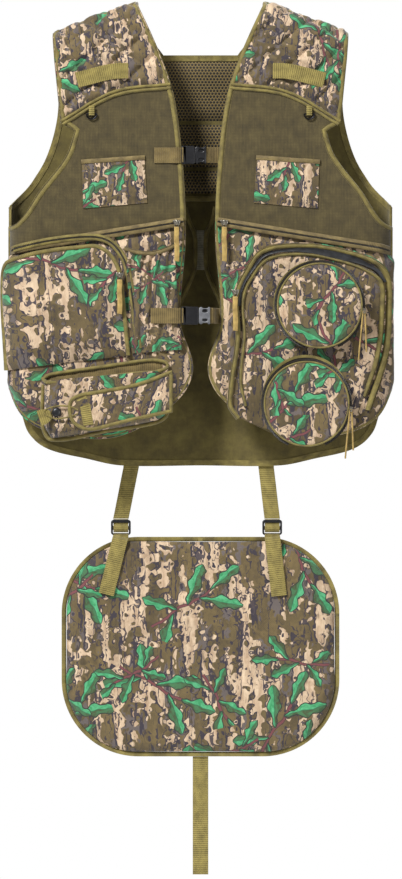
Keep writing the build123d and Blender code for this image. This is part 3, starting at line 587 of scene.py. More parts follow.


# Yokes --------------------------------------------------------------------------------------------
# The shoulders are camouflage cloth over wadding, stitched through in diamonds. Each front yoke runs
# over the shoulder's ridge, where it is sewn to the back yoke.

BINDING = 9.5
YOKE_FACE = 7.0
QUILT = 35.0        # between stitch lines
front_edge = [
    (NECK, ridge(NECK)), (NECK, NECK_TOP), (65, -77), (42, -147), (28, -259), (24, -370), (32, -505),
    (12, -580), (36, -630), (120, -685), (200, -690), (280, -662), (314, -600), (330, -540), (330, -356),
    (294, -345), (256, -294), (215, -240), (201, -200), (224, -186), (229, -134),
    (SHOULDER, NECK_TOP - DROP), (SHOULDER, ridge(SHOULDER)),
]
yoke_seam = [(-10, -121), (48, -128), (137, -140), (222, -187), (450, -315)]
above_seam = yoke_seam + [(450, 200), (-10, 200)]


def quilted(q, inset, face, seed=0.0):
    """Wadding that swells between diagonal rows of stitches and is flat at the edges."""
    gap = np.full(len(q), QUILT)
    for way in (radians(52), radians(-48)):
        across = (q @ np.array([cos(way), sin(way)]) + 9 * seed) / QUILT
        gap = np.minimum(gap, np.abs(across - np.round(across)) * QUILT)
    pillow = 1 - (1 - np.clip(gap / 13, 0, 1)) ** 2.2
    full = 0.6 + (face + 1.0) * pillow + 1.2 * pillow * wrinkle(q, 11, 1.0, seed)
    return 1.4 + (full - 1.4) * ease(inset / 12)


sides = {"right": -1, "left": 1}
front_cut, yoke_cut = {}, {}
for name, side in sides.items():
    front_cut[name] = flatten(curve(front_edge, side))
    yoke_cut[name] = flatten(curve(above_seam, side, sharp=30, step=6.0))
    yoke_print = printed_cloth(f"printed_quilt_{name}", (0.31 * 1000 * side, 130), 8 * side, 1.15)
    cut, zone = front_cut[name], yoke_cut[name]
    yoke = cut_cloth(f"{name}_front_yoke_quilt", [cut, zone], lambda q: inside(cut, q) & inside(zone, q),
                     lambda q, inset: quilted(q, inset, YOKE_FACE, side), step=3.4)
    dress(yoke, yoke_print, "camo_cloth")
    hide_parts(f"{name}_front_yoke")
    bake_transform(yoke)

back_yoke_print = printed_cloth("printed_quilt_back", (900, 410), 0, 1.15)
for name, side in sides.items():
    zone = flatten(np.array([(side * 78, 60), (side * 78, -150), (side * 290, -150), (side * 290, 60)]))
    quilt = cut_cloth(f"back_yoke_quilt_{name}", [back_cut, zone],
                      lambda q: inside(back_cut, q) & inside(zone, q),
                      lambda q, inset: 1.2 + quilted(q, inset, YOKE_FACE, 3 + side), under=1.0, back=True,
                      step=3.4)
    dress(quilt, back_yoke_print, "camo_cloth", "vest_back")
    if side == 1:
        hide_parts("back_yokes")


# Mesh fronts --------------------------------------------------------------------------------------
# Below the yokes the fronts are a single layer of fine, stiff knitted mesh, cool to wear.

chest_mesh = plain_weave("knitted_chest_mesh", "#3D341A", "#4E4323", "#5F532E", thread=2.4, slub=20.0,
                         streaky=0.5)


def zip_line(x):
    """Height of the long zip across a front at a distance from the middle."""
    return -341.0 - 0.161 * x


for name, side in sides.items():
    cut, zone = front_cut[name], yoke_cut[name]
    lower = flatten(np.array([(0, -350), (side * 345, zip_line(345) - 9), (side * 345, -800), (0, -800)]))
    mesh_panel = cut_cloth(f"{name}_front_mesh_cloth", [cut, zone, lower],
                           lambda q: inside(cut, q) & ~inside(zone, q) & ~inside(lower, q),
                           lambda q, inset: 1.9 + wrinkle(q * (1, 0.6), 60, 0.8, side) * ease(inset / 20),
                           step=6.0)
    dress(mesh_panel, chest_mesh, "mesh_cloth", f"{name}_front", f"{name}_front_mesh")


# Long cargo pockets -------------------------------------------------------------------------------
# The whole lower front is one deep pocket of printed cloth, closed along its slanted top by a zip.

CARGO_FACE = 12.0
for name, side in sides.items():
    cut = front_cut[name]
    lower = flatten(np.array([(side * -8, zip_line(-8)), (side * 345, zip_line(345)), (side * 345, -800),
                              (side * -8, -800)]))

    def cargo_face(q, inset):
        """Full in the middle, pulled in at the edges, with loose folds."""
        folds = wrinkle(q, 42, 2.4, side) + wrinkle(q * (0.6, 1), 20, 1.0, 9.0)
        return 2.4 + (CARGO_FACE - 3.4) * ease((inset + 2) / 26) + folds * ease(inset / 22)

    cargo = cut_cloth(f"{name}_cargo_pocket_cloth", [cut, lower],
                      lambda q: inside(cut, q) & inside(lower, q), cargo_face, step=6.0)
    cargo_print = printed_cloth(f"printed_cargo_{name}", (140 * side, 55), 0, 1.0)
    dress(cargo, cargo_print, "camo_cloth", f"{name}_front", f"{name}_cargo_pocket")


# Bindings -----------------------------------------------------------------------------------------
# Every raw edge is wrapped in olive grosgrain tape, folded over and sewn close to its inner edge.

def grosgrain(name, dark, light, rib=2.0):
    """Ribbed polyester tape: fine cords across the tape that catch the light, drawn wider than
    real ones so that they show."""
    material, tree, surface = new_material(name, 0.7, Sheen_Weight=0.2)
    ribs = add(tree, "TexWave", {"Vector": pattern_size(tree, rib, rib), "Scale": WAVE, "Distortion": 0.4},
               wave_type="BANDS", bands_direction="X")
    shade = add(tree, "TexNoise", {"Vector": pattern_size(tree, 16, 9), "Scale": 1.0, "Detail": 4.0})
    tone = add(tree, "Math", {0: ribs, 1: 0.25, 2: shade}, operation="MULTIPLY_ADD")
    base = add(tree, "ValToRGB", {0: tone}, stops=((0.36, dark), (0.86, light)))
    tree.links.new(base, surface.inputs["Base Color"])
    bump = add(tree, "Bump", {"Height": ribs, "Distance": 0.25 * MM, "Strength": 1.0})
    tree.links.new(bump, surface.inputs["Normal"])
    return material


def tape_shape(width, low, high, inner_stitch=True):
    """The section of a folded tape: rounded, with a sunk row of stitches by its inner edge."""
    section = []
    for i in range(13):
        a = pi * i / 12
        level = low + (high - low) * sin(a) ** 0.7
        across = -width / 2 * cos(a)
        if inner_stitch and 8 <= i <= 9:
            level -= 0.34 * (high - low)
        section.append((across, level))
    return section


def lay_tape(name, path, section, closed=False, back=False, lift=0.0, widen=1.0):
    """A tape laid along a flat-pattern path; its section is (across, level) points. `lift` and
    `widen` may change along the path."""
    path = np.array(path, float)
    if closed:
        ahead = np.roll(path, -1, 0) - np.roll(path, 1, 0)
    else:
        ahead = np.gradient(path, axis=0)
    ahead /= np.maximum(np.linalg.norm(ahead, axis=1), 1e-6)[:, None]
    across = np.stack([-ahead[:, 1], ahead[:, 0]], 1)
    step = np.linalg.norm(np.diff(path, axis=0), axis=1)
    run = np.concatenate([[0], np.cumsum(step)])
    rings, uvs = [], []
    for k, (offset, level) in enumerate(section):
        aside = across * (offset * np.broadcast_to(widen, len(path)))[:, None]
        rings.append(place(path + aside, level + lift, back))
        uvs.append(np.stack([run, np.full(len(path), offset)], 1) * MM)
    rings, uvs = np.stack(rings, 1), np.stack(uvs, 1)
    count, around = len(path), len(section)
    verts, uvs = rings.reshape(-1, 3), uvs.reshape(-1, 2)
    faces = []
    for i in range(count if closed else count - 1):
        j = (i + 1) % count
        for k in range(around):
            m = (k + 1) % around
            faces.append((i * around + k, j * around + k, j * around + m, i * around + m))
    if not closed:
        faces.append(tuple(range(around))[::-1])
        faces.append(tuple((count - 1) * around + k for k in range(around)))
    return finish_mesh(name, verts, faces, uvs, 60)


def inwards(line, amount, closed=True):
    """A flat-pattern outline moved in by an amount, towards its own inside."""
    line = np.array(line, float)
    if closed:
        ahead = np.roll(line, -1, 0) - np.roll(line, 1, 0)
    else:
        ahead = np.gradient(line, axis=0)
    ahead /= np.maximum(np.linalg.norm(ahead, axis=1), 1e-6)[:, None]
    left = np.stack([-ahead[:, 1], ahead[:, 0]], 1)
    a, b = line, np.roll(line, -1, 0)
    turning = (a[:, 0] * b[:, 1] - b[:, 0] * a[:, 1]).sum()
    return line + left * amount * (1 if turning > 0 else -1)


olive_tape = grosgrain("grosgrain_tape_olive", "#4A3F18", "#8A7C3C")
for name, side in sides.items():
    edge = inwards(front_cut[name], BINDING / 2 - 0.5)
    binding = lay_tape(f"{name}_front_binding", edge, tape_shape(BINDING, -0.7, 4.0), closed=True)
    dress(binding, olive_tape, "olive_binding")
    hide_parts(f"{name}_front_bindings")
    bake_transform(binding)
    seam = curve(yoke_seam[:-1] + [(330, -247)], side, closed=False)
    seam = flatten(seam[inside(curve(front_edge, side), seam)])
    for row, middle in (("upper", 2.9), ("lower", -2.9)):
        bead = [(middle * side + across, level) for across, level in tape_shape(5.4, 1.0, 5.4, False)]
        yoke_tape = lay_tape(f"{name}_yoke_seam_{row}_tape", seam, bead)
        dress(yoke_tape, olive_tape, "olive_binding", f"{name}_front")
back_tape = lay_tape("back_binding", inwards(back_cut, BINDING / 2 - 0.5), tape_shape(BINDING, -0.9, 3.6),
                     closed=True, back=True)
dress(back_tape, olive_tape, "olive_binding", "vest_back", "back_bindings")


# Long zips ----------------------------------------------------------------------------------------
# A nylon coil zip closes each cargo pocket. The coil lies sunk between two brown woven tapes, and
# an enamelled slider runs on it, with a folded webbing pull on its bridge.

ZIP_FACE = 13.5
zip_tape_brown = grosgrain("woven_zip_tape_brown", "#4B3D1F", "#857344")


def coil(name):
    """Nylon coil: close dark turns with narrow glints."""
    material, tree, surface = new_material(name, 0.42, IOR=1.53)
    turns = add(tree, "TexWave", {"Vector": pattern_size(tree, 1.7, 1.7), "Scale": WAVE},
                wave_type="BANDS", bands_direction="X")
    tree.links.new(add(tree, "ValToRGB", {0: turns}, stops=((0.2, "#0B0A08"), (0.9, "#3A342A"))),
                   surface.inputs["Base Color"])
    bump = add(tree, "Bump", {"Height": turns, "Distance": 0.7 * MM, "Strength": 1.0})
    tree.links.new(bump, surface.inputs["Normal"])
    return material


nylon_coil = coil("nylon_zip_coil")


def lay_zip(name, path, face, width=14.0, base=2.0, **options):
    """A zip's tape, with a groove along its middle, and the coil that fills the groove."""
    half = width / 2
    section = [(-half, base), (-half, face - 1.0), (-half + 1, face), (-1.7, face), (-1.2, face - 1.6),
               (1.2, face - 1.6), (1.7, face), (half - 1, face), (half, face - 1.0), (half, base)]
    tape = lay_tape(f"{name}_tape", path, section, **options)
    turns = [(-1.2, face - 2.0), (-1.0, face - 1.0), (-0.4, face - 0.6), (0.4, face - 0.6),
             (1.0, face - 1.0), (1.2, face - 2.0)]
    return tape, lay_tape(f"{name}_coil", path, turns, **options)


for name, side in sides.items():
    run = np.array([(side * x, zip_line(x)) for x in np.arange(27, 314, 4.0)])
    sunk = -8.5 * ease((np.abs(run[:, 0]) - 284) / 30)     # drawn in at the side seam
    tape, turns = lay_zip(f"{name}_top_zip", flatten(run, ZIP_FACE), ZIP_FACE, lift=sunk)
    dress(tape, zip_tape_brown, "zip_tape", f"{name}_front", f"{name}_top_zip")
    dress(turns, nylon_coil, "zip_tape", f"{name}_front")


# Sliders and pulls --------------------------------------------------------------------------------
# Die-cast zinc sliders: a waisted shield with a bridge over it. Each pull is a length of tan ribbed
# tape, folded round the bridge and sewn to itself.

def moulded(name, lines, front, thickness, edge):
    """A flat moulding with rounded edges: outlines in millimetres in the front view, with holes."""
    data = bpy.data.curves.new(name, "CURVE")
    data.dimensions = "2D"
    data.fill_mode = "BOTH"
    data.extrude = (thickness / 2 - edge) * MM
    data.bevel_depth = edge * MM
    data.bevel_resolution = 3
    data.offset = -edge * MM
    for line in lines:
        spline = data.splines.new("POLY")
        spline.points.add(len(line) - 1)
        for point, (x, z) in zip(spline.points, line):
            point.co = (x * MM, z * MM, 0, 1)
        spline.use_cyclic_u = True
    shape = bpy.data.objects.new(name, data)
    mesh = bpy.data.meshes.new_from_object(shape)
    bpy.data.curves.remove(data)
    turned = Matrix.Translation((0, (front + thickness / 2) * MM, 0)) @ Matrix.Rotation(pi / 2, 4, "X")
    mesh.transform(turned)
    for layer in list(mesh.uv_layers):
        mesh.uv_layers.remove(layer)
    layer = mesh.uv_layers.new(name="cut")
    corners = np.zeros(len(mesh.loops), int)
    mesh.loops.foreach_get("vertex_index", corners)
    co = np.array([tuple(v.co) for v in mesh.vertices])
    layer.data.foreach_set("uv", co[corners][:, [0, 2]].astype(np.float32).ravel())
    mesh.polygons.foreach_set("use_smooth", [True] * len(mesh.polygons))
    mesh.set_sharp_from_angle(angle=radians(40))
    made = bpy.data.objects.new(name, mesh)
    bpy.context.scene.collection.objects.link(made)
    return made


def sweep(name, path, across, section, closed=False, square=True):
    """A strip along a path of (x, y, z) millimetres; its section's first axis runs `across` it."""
    path = np.array(path, float)
    across = np.array(across, float) / np.linalg.norm(across)
    if closed:
        ahead = np.roll(path, -1, 0) - np.roll(path, 1, 0)
    else:
        ahead = np.gradient(path, axis=0)
    ahead /= np.maximum(np.linalg.norm(ahead, axis=1), 1e-9)[:, None]
    out = np.cross(ahead, across)
    out /= np.maximum(np.linalg.norm(out, axis=1), 1e-9)[:, None]
    side_way = np.cross(out, ahead) if square else np.broadcast_to(across, path.shape)
    run = np.concatenate([[0], np.cumsum(np.linalg.norm(np.diff(path, axis=0), axis=1))])
    around, count = len(section), len(path)
    verts, uvs = [], []
    for p, o, s, r in zip(path, out, side_way, run):
        for a, b in section:
            verts.append((p + s * a + o * b) * MM)
            uvs.append((r * MM, a * MM))
    faces = []
    for i in range(count if closed else count - 1):
        j = (i + 1) % count
        for k in range(around):
            m = (k + 1) % around
            faces.append((i * around + k, j * around + k, j * around + m, i * around + m))
    if not closed:
        faces.append(tuple(range(around))[::-1])
        faces.append(tuple((count - 1) * around + k for k in range(around)))
    return finish_mesh(name, np.array(verts), faces, np.array(uvs), 60)


def flat_section(width, thickness):
    """The section of a woven tape, with soft selvedges."""
    w, t = width / 2, thickness / 2
    return [(-w, 0), (-w + 0.35 * t, -0.8 * t), (-w + t, -t), (w - t, -t), (w - 0.35 * t, -0.8 * t),
            (w, 0), (w - 0.35 * t, 0.8 * t), (w - t, t), (-w + t, t), (-w + 0.35 * t, 0.8 * t)]


def round_section(radius, count=10):
    """A round section, as points about its middle."""
    return [(radius * cos(2 * pi * i / count), radius * sin(2 * pi * i / count)) for i in range(count)]


def bend_through(points, step=2.0):
    """A smooth path through points in space."""
    p = np.array(points, float)
    tangent = np.gradient(p, axis=0)
    made = []
    for i in range(len(p) - 1):
        length = np.linalg.norm(p[i + 1] - p[i])
        scale = [length / max(np.linalg.norm(tangent[k]), 1e-9) for k in (i, i + 1)]
        count = max(int(length / step), 2)
        for u in np.arange(count) / count:
            made.append((2 * u**3 - 3 * u**2 + 1) * p[i] + (u**3 - 2 * u**2 + u) * tangent[i] * scale[0]
                        + (3 * u**2 - 2 * u**3) * p[i + 1] + (u**3 - u**2) * tangent[i + 1] * scale[1])
    return np.array(made + [p[-1]])


def cast_metal(name, dark, light, roughness):
    """Zinc casting under thin enamel, rubbed brighter in small patches."""
    material, tree, surface = new_material(name, roughness, Metallic=1.0)
    rub = add(tree, "TexNoise", {"Vector": pattern_size(tree, 3, 3), "Scale": 1.0, "Detail": 4.0})
    tree.links.new(add(tree, "ValToRGB", {0: rub}, stops=((0.35, dark), (0.65, light))),
                   surface.inputs["Base Color"])
    return material


slider_zinc = cast_metal("cast_zinc_sliders", "#6F6A60", "#C9C3B4", 0.34)
pull_tape = grosgrain("ribbed_pull_tape_tan", "#6B5424", "#C0A25A")

for name in ("right_top_zip", "left_top_zip", "organizer_zip", "arch_zip"):
    centre, size = box_middle(f"{name}_slider")
    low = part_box(f"{name}_slider")[0] / MM
    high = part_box(f"{name}_slider")[1] / MM
    x, z = centre.x / MM, centre.z / MM
    w, h = size.x / MM / 2, size.z / MM / 2
    shield = [(x - w, z + h), (x - w, z + 0.2 * h), (x - 0.62 * w, z - h), (x + 0.62 * w, z - h),
              (x + w, z + 0.2 * h), (x + w, z + h), (x + 0.35 * w, z + 0.72 * h),
              (x - 0.35 * w, z + 0.72 * h)]
    plate = moulded(f"{name}_slider_shield", [shield], high.y - 3.4, 3.3, 0.9)
    dress(plate, slider_zinc, "slider_metal", f"{name}_slider", f"{name}_slider")
    pin_y = low.y + 2.2
    bridge = bend_through([(x, high.y - 3, z + h * 0.75), (x, pin_y - 1.6, z + h * 0.8), (x, pin_y - 2.1, z),
                           (x, pin_y - 1.4, z - h * 0.75), (x, high.y - 3, z - h * 0.7)], 0.8)
    hoop = sweep(f"{name}_slider_bridge", bridge, (1, 0, 0), flat_section(3.2, 1.3))
    dress(hoop, slider_zinc, "slider_metal", f"{name}_slider")
    pull_low, pull_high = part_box(f"{name}_pull")
    y = (pull_low.y + pull_high.y) / 2 / MM
    end = pull_low.z / MM
    link_way = [(x + 2.6 * cos(a), y - 0.2, z - 3.6 + 5.4 * sin(a)) for a in np.arange(16) * pi / 8]
    link = sweep(f"{name}_pull_link", link_way, (0, 1, 0), round_section(0.75, 6), closed=True)
    dress(link, slider_zinc, "slider_metal", f"{name}_pull")
    fold = [(x, y + 0.9, z - 22), (x, y + 0.9, z - 12), (x, y, z - 7.2), (x, y - 1.0, z - 10),
            (x, y - 0.8, z - 14), (x - 0.6, y - 0.6, z - 24), (x + 0.5, y - 1.3, z - 42),
            (x + 0.2, y - 0.4, end + 1.5), (x, y - 0.2, end)]
    pull = sweep(f"{name}_pull_tape", bend_through(fold), (1, 0, 0), flat_section(8.0, 1.3))
    dress(pull, pull_tape, "pull_tape", f"{name}_pull", f"{name}_pull")


# Chest pockets ------------------------------------------------------------------------------------
# A small open-topped pocket of printed cloth on each chest, hemmed with brown tape along its mouth
# and sewn down at the sides and the bottom.

chest_pocket = [(90, -239), (190, -246), (187.5, -324), (85, -315)]
for name, side in sides.items():
    cut = flatten(curve(chest_pocket, side))
    sewn = flatten(curve(chest_pocket[1:] + chest_pocket[:1], side, closed=False))

    def chest_face(q, inset):
        """Stands away from the chest at the mouth, and is drawn in at the sewn sides."""
        sewn_by = distance(q, sewn[:-1], sewn[1:])
        return 3.6 + 5.0 * ease(sewn_by / 16) + wrinkle(q, 22, 0.9, side) * ease(sewn_by / 12)

    pocket = cut_cloth(f"{name}_chest_pocket_cloth", [cut], lambda q: inside(cut, q), chest_face,
                       under=lambda q, inset: chest_face(q, inset) - 1.4, step=3.4)
    chest_print = printed_cloth(f"printed_chest_pocket_{name}", (610 - 330 * side, -90), 0, 1.2)
    dress(pocket, chest_print, "camo_cloth", f"{name}_front", f"{name}_chest_pocket")
    hem_path = flatten(curve([(89, -242.5), (139, -246.3), (191, -249.5)], side, closed=False))
    rise = chest_face(hem_path, None)
    hem = lay_tape(f"{name}_chest_pocket_hem", hem_path, [(-3.6, -1.2), (-3.6, 0.8), (-2.8, 1.3), (2.8, 1.3),
                                                       (3.6, 0.8), (3.6, -1.2)], lift=rise)
    dress(hem, zip_tape_brown, "olive_binding", f"{name}_front")


# Keepers, D-rings and their tabs ------------------------------------------------------------------
# A webbing keeper is tacked across each yoke. Below the yoke's seam a narrow tab holds a small
# black D-ring, for a strap or a tool.

def webbing_material(name, dark, light):
    """Polyester webbing: a bold rib across the strap, with a finer one between, and a patchy tone."""
    material, tree, surface = new_material(name, 0.75, Sheen_Weight=0.15)
    ribs = add(tree, "TexWave", {"Vector": pattern_size(tree, 3.2, 3.2), "Scale": WAVE, "Distortion": 0.3},
               wave_type="BANDS", bands_direction="X")
    fine = add(tree, "TexWave", {"Vector": pattern_size(tree, 1.9, 1.9, 30), "Scale": WAVE},
               wave_type="BANDS", bands_direction="Y")
    mixed = add(tree, "Math", {0: ribs, 1: 0.7,
                               2: add(tree, "Math", {0: fine, 1: 0.3}, operation="MULTIPLY")},
                operation="MULTIPLY_ADD")
    shade = add(tree, "TexNoise", {"Vector": pattern_size(tree, 20, 12), "Scale": 1.0, "Detail": 4.0})
    # The ribs are painted lighter on their crests and darker in their grooves: painted light and shade, over
    # the bump from the same ribs.
    tone = add(tree, "Math", {0: mixed, 1: 0.45, 2: shade}, operation="MULTIPLY_ADD")
    tree.links.new(add(tree, "ValToRGB", {0: tone}, stops=((0.4, dark), (0.95, light))),
                   surface.inputs["Base Color"])
    bump = add(tree, "Bump", {"Height": mixed, "Distance": 0.8 * MM, "Strength": 1.0})
    tree.links.new(bump, surface.inputs["Normal"])
    return material


olive_webbing = webbing_material("polyester_webbing_olive", "#5B5022", "#978846")
brown_webbing = webbing_material("polyester_webbing_brown", "#4A3D1E", "#7E6B3C")
black_enamel = cast_metal("black_enamelled_steel", "#17171A", "#3C3C40", 0.38)
ring_x = box_middle("left_d_ring")[0].x / MM
ring_low, ring_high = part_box("left_d_ring")
ring_bar_z = ring_high.z / MM - 1.2
ring_y = (ring_low.y + ring_high.y) / 2 / MM

for name, side in sides.items():
    keeper_path = flatten(curve([(115.5, -104), (136, -104.6), (157, -108.5), (178, -114), (198, -119)],
                                side, closed=False))
    bow = 1.2 + 1.8 * np.sin(np.linspace(0, pi, len(keeper_path)))
    keeper = lay_tape(f"{name}_yoke_keeper", keeper_path,
                      [(-12.5, 6.2), (-12.2, 7.6), (12.2, 7.6), (12.5, 6.2)], lift=bow)
    dress(keeper, olive_webbing, "webbing")
    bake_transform(keeper)
    x = side * ring_x
    loop = bend_through([(x, ring_y - 2.6, ring_bar_z + 13), (x, ring_y - 2.5, ring_bar_z + 3),
                         (x, ring_y - 1.5, ring_bar_z - 1.6), (x, ring_y + 0.4, ring_bar_z - 2.2),
                         (x, ring_y + 2.0, ring_bar_z), (x, ring_y + 2.3, ring_bar_z + 12)], 1.0)
    tab = sweep(f"{name}_ring_tab", loop, (1, 0, 0), flat_section(9.0, 1.3))
    dress(tab, olive_webbing, "webbing", f"{name}_front", f"{name}_webbing_tabs")
    dress(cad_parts[f"{name}_d_ring"], black_enamel, "ring_metal")


# Organizer pocket ---------------------------------------------------------------------------------
# A boxy pocket of printed cloth on the right front. Piping stiffens its edge, and its own zip runs
# over the top and down the inner side, between two olive tapes.

organizer = [(113, -559), (125, -440), (132, -413), (150, -390), (174, -382), (306, -406), (318, -440),
             (312, -583)]
organizer_cut = flatten(curve(organizer, -1, sharp=70), 15.0)


def organizer_face(q, inset):
    """A flat lid of cloth that swells towards the bottom, where things lie in it."""
    bulge = 9.5 * ease((inset - 3) / 34) * ease((-430 - q[:, 1]) / 60)
    return 14.0 + 3.6 * ease(inset / 7) + bulge + wrinkle(q, 40, 1.3, 4.0) * ease(inset / 14)


organizer_cloth = cut_cloth("organizer_pocket_cloth", [organizer_cut], lambda q: inside(organizer_cut, q),
                            organizer_face, under=9.0, step=5.0)
organizer_print = printed_cloth("printed_organizer", (-215, 262), -6, 0.95)
dress(organizer_cloth, organizer_print, "camo_cloth", "right_front", "organizer_pocket")
organizer_rim = flatten(curve(organizer[:8], -1, closed=False, sharp=70), 15.0)
organizer_rim = inwards(organizer_rim, 2.5, closed=False)
piping = lay_tape("organizer_piping", organizer_rim,
                  [(3.4 * cos(a), 16.3 + 2.9 * sin(a)) for a in np.arange(10) * pi / 5])
dress(piping, olive_tape, "olive_binding", "right_front", "organizer_zip")
zip_way = flatten(curve([(301, -389), (240, -376), (172, -370), (143, -379), (122, -406), (113, -440),
                         (104, -500), (99, -548)], -1, closed=False), 13.0)
sunk = -4.5 * ease((-zip_way[:, 0] - 280) / 22)
for part, material in zip(lay_zip("organizer_zip_run", zip_way, 15.0, width=11.0, base=7.0, lift=sunk),
                          (olive_tape, nylon_coil)):
    dress(part, material, "zip_tape", "right_front")


# Gathered pocket ----------------------------------------------------------------------------------
# A soft pocket beside it, drawn up on an elastic binding, so that its cloth falls in upright folds.

gathered = [(120, -391), (80, -397), (42, -386), (30, -550), (109, -556)]
gathered_cut = flatten(curve(gathered, -1, sharp=40))


def gathered_face(q, inset):
    """Folds close together at the elastic, that widen and fade towards the bottom."""
    drop = np.clip((-388 - q[:, 1]) / 165, 0, 1)
    sway = q[:, 0] + 5.0 * wrinkle(q * (0.5, 1), 36, 1.0, 2.0)
    folds = np.sin(sway / 15.0 * 2 * pi + 2.6 * wrinkle(q, 26, 1.0)) * (1 - 0.35 * drop)
    fine = np.sin(sway / 7.0 * 2 * pi) * np.clip(1 - drop * 2.2, 0, 1)
    slack = 5.0 * np.sin(np.clip(drop, 0, 1) * pi)
    return 14.8 + 3.3 * folds + 1.0 * fine + (0.45 * slack + 0.6) * ease(inset / 14)


gathered_cloth = cut_cloth("gathered_pocket_cloth", [gathered_cut], lambda q: inside(gathered_cut, q),
                           gathered_face, under=lambda q, inset: gathered_face(q, inset) - 1.6, step=2.6)
gathered_print = printed_cloth("printed_gathered", (-60, 480), 4, 1.35)
dress(gathered_cloth, gathered_print, "camo_cloth", "right_front", "gathered_pocket")
elastic_path = flatten(curve([(122, -388), (103, -394), (80, -396.5), (60, -392), (41, -384)], -1,
                             closed=False))
elastic = lay_tape("gathered_pocket_elastic", elastic_path, tape_shape(7.5, 13.0, 18.8),
                   lift=0.7 * np.sin(np.arange(len(elastic_path)) * 1.9))
dress(elastic, zip_tape_brown, "olive_binding", "right_front")


# Call holster -------------------------------------------------------------------------------------
# An open-topped trough sewn across the right front, for a long box call. Its mouth and its flap are
# piped; the flap wraps over the front and is held by an elastic loop on a round black toggle.

holster = [(57, -583), (250, -600), (250, -672), (238, -692), (70, -664), (52, -650)]
holster_cut = flatten(curve(holster, -1, sharp=30))
holster_sewn = flatten(curve(holster[1:] + holster[:1], -1, closed=False, sharp=30))
HOLSTER_BACK = 12.0
HOLSTER_FACE = -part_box("call_holster")[0].y / MM - FLAT


def holster_face(q, inset):
    """The front wall stands off on rounded sides and bottom, and is open along the top."""
    sewn_by = np.clip(distance(q, holster_sewn[:-1], holster_sewn[1:]) / 22, 0, 1)
    shoulder = np.sqrt(np.clip(1 - (1 - sewn_by) ** 2.6, 0, 1))
    full = HOLSTER_BACK + 1 + (HOLSTER_FACE - HOLSTER_BACK - 2.4) * shoulder
    return full + wrinkle(q, 30, 1.2, 8.0) * sewn_by


holster_cloth = cut_cloth("holster_front_wall", [holster_cut], lambda q: inside(holster_cut, q),
                          holster_face,
                          under=lambda q, inset: np.maximum(holster_face(q, inset) - 2.6, 9.5), step=4.0)
holster_print = printed_cloth("printed_holster", (320, -60), 12, 1.15)
dress(holster_cloth, holster_print, "camo_cloth", "right_front", "call_holster")
lining_cut = flatten(curve([(60, -571), (90, -568), (244, -592), (250, -640), (60, -630)], -1, sharp=30))
lining = cut_cloth("holster_back_wall", [lining_cut], lambda q: inside(lining_cut, q),
                   lambda q, inset: 12.0 + 2.2 * ease(inset / 4), under=9.0, step=6.0)
dress(lining, brown_webbing, "webbing", "right_front")
mouth = flatten(curve([(246, -602), (205, -599), (150, -594), (100, -588), (74, -586), (58, -582),
                       (52, -575), (60, -569), (80, -567), (120, -572), (180, -581), (240, -590),
                       (252, -596)], -1,
                      sharp=100, step=4.0))
front_share = ease(np.clip((-mouth[:, 1] - 0.095 * -mouth[:, 0] - 561.5 - 8) / 12, 0, 1))
mouth_level = 14.5 + (HOLSTER_FACE - 17.5) * front_share
round_piping = [(3.1 * cos(a), 3.1 * sin(a)) for a in np.arange(10) * pi / 5]
mouth_piping = lay_tape("holster_mouth_piping", mouth, round_piping, closed=True, lift=mouth_level)
dress(mouth_piping, olive_tape, "olive_binding", "right_front")
base_path = flatten(curve([(251, -606), (252, -672), (238, -694), (150, -680), (70, -666), (53, -652),
                           (54, -600)],
                          -1, closed=False, sharp=75))
base_piping = lay_tape("holster_base_piping", base_path, round_piping, lift=15.5)
dress(base_piping, olive_tape, "olive_binding", "right_front")

flap = [(46, -585), (100, -605), (162, -617), (194, -623), (208, -634), (206, -662), (188, -676),
        (172, -678), (114, -664), (46, -649)]
flap_cut = flatten(curve(flap, -1, sharp=60))
FLAP_INNER = -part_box("holster_flap")[1].y / MM - FLAT


def flap_face(q, inset):
    """Two layers of cloth over a stiffener, a little proud in the middle."""
    return FLAP_INNER + 1.6 + 2.4 * ease(inset / 9) + wrinkle(q, 34, 0.8, 6.0) * ease(inset / 10)


flap_cloth = cut_cloth("holster_flap_cloth", [flap_cut], lambda q: inside(flap_cut, q), flap_face,
                       under=FLAP_INNER, step=4.0)
dress(flap_cloth, printed_cloth("printed_flap", (-420, 333), 16, 1.1), "camo_cloth", "holster_flap",
      "holster_flap")
flap_piping = lay_tape("holster_flap_piping", inwards(flap_cut, 1.0), round_piping, closed=True,
                       lift=FLAP_INNER + 2.4)
dress(flap_piping, olive_tape, "olive_binding", "holster_flap")

toggle_at = box_middle("holster_toggle")[0]
LOOP_FACE = -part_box("holster_loop")[0].y / MM - FLAT
tx, tz = toggle_at.x / MM, toggle_at.z / MM


def moulded_plastic(name, dark, light, roughness):
    """Injection-moulded acetal: even and slightly waxy, with a fine spark-eroded grain."""
    material, tree, surface = new_material(name, roughness, IOR=1.48)
    grain = add(tree, "TexNoise", {"Vector": pattern_size(tree, 0.9, 0.9), "Scale": 1.0, "Detail": 2.0})
    cloud = add(tree, "TexNoise", {"Vector": pattern_size(tree, 14, 14), "Scale": 1.0, "Detail": 3.0})
    tree.links.new(add(tree, "ValToRGB", {0: cloud}, stops=((0.3, dark), (0.7, light))),
                   surface.inputs["Base Color"])
    bump = add(tree, "Bump", {"Height": grain, "Distance": 0.04 * MM, "Strength": 1.0})
    tree.links.new(bump, surface.inputs["Normal"])
    return material


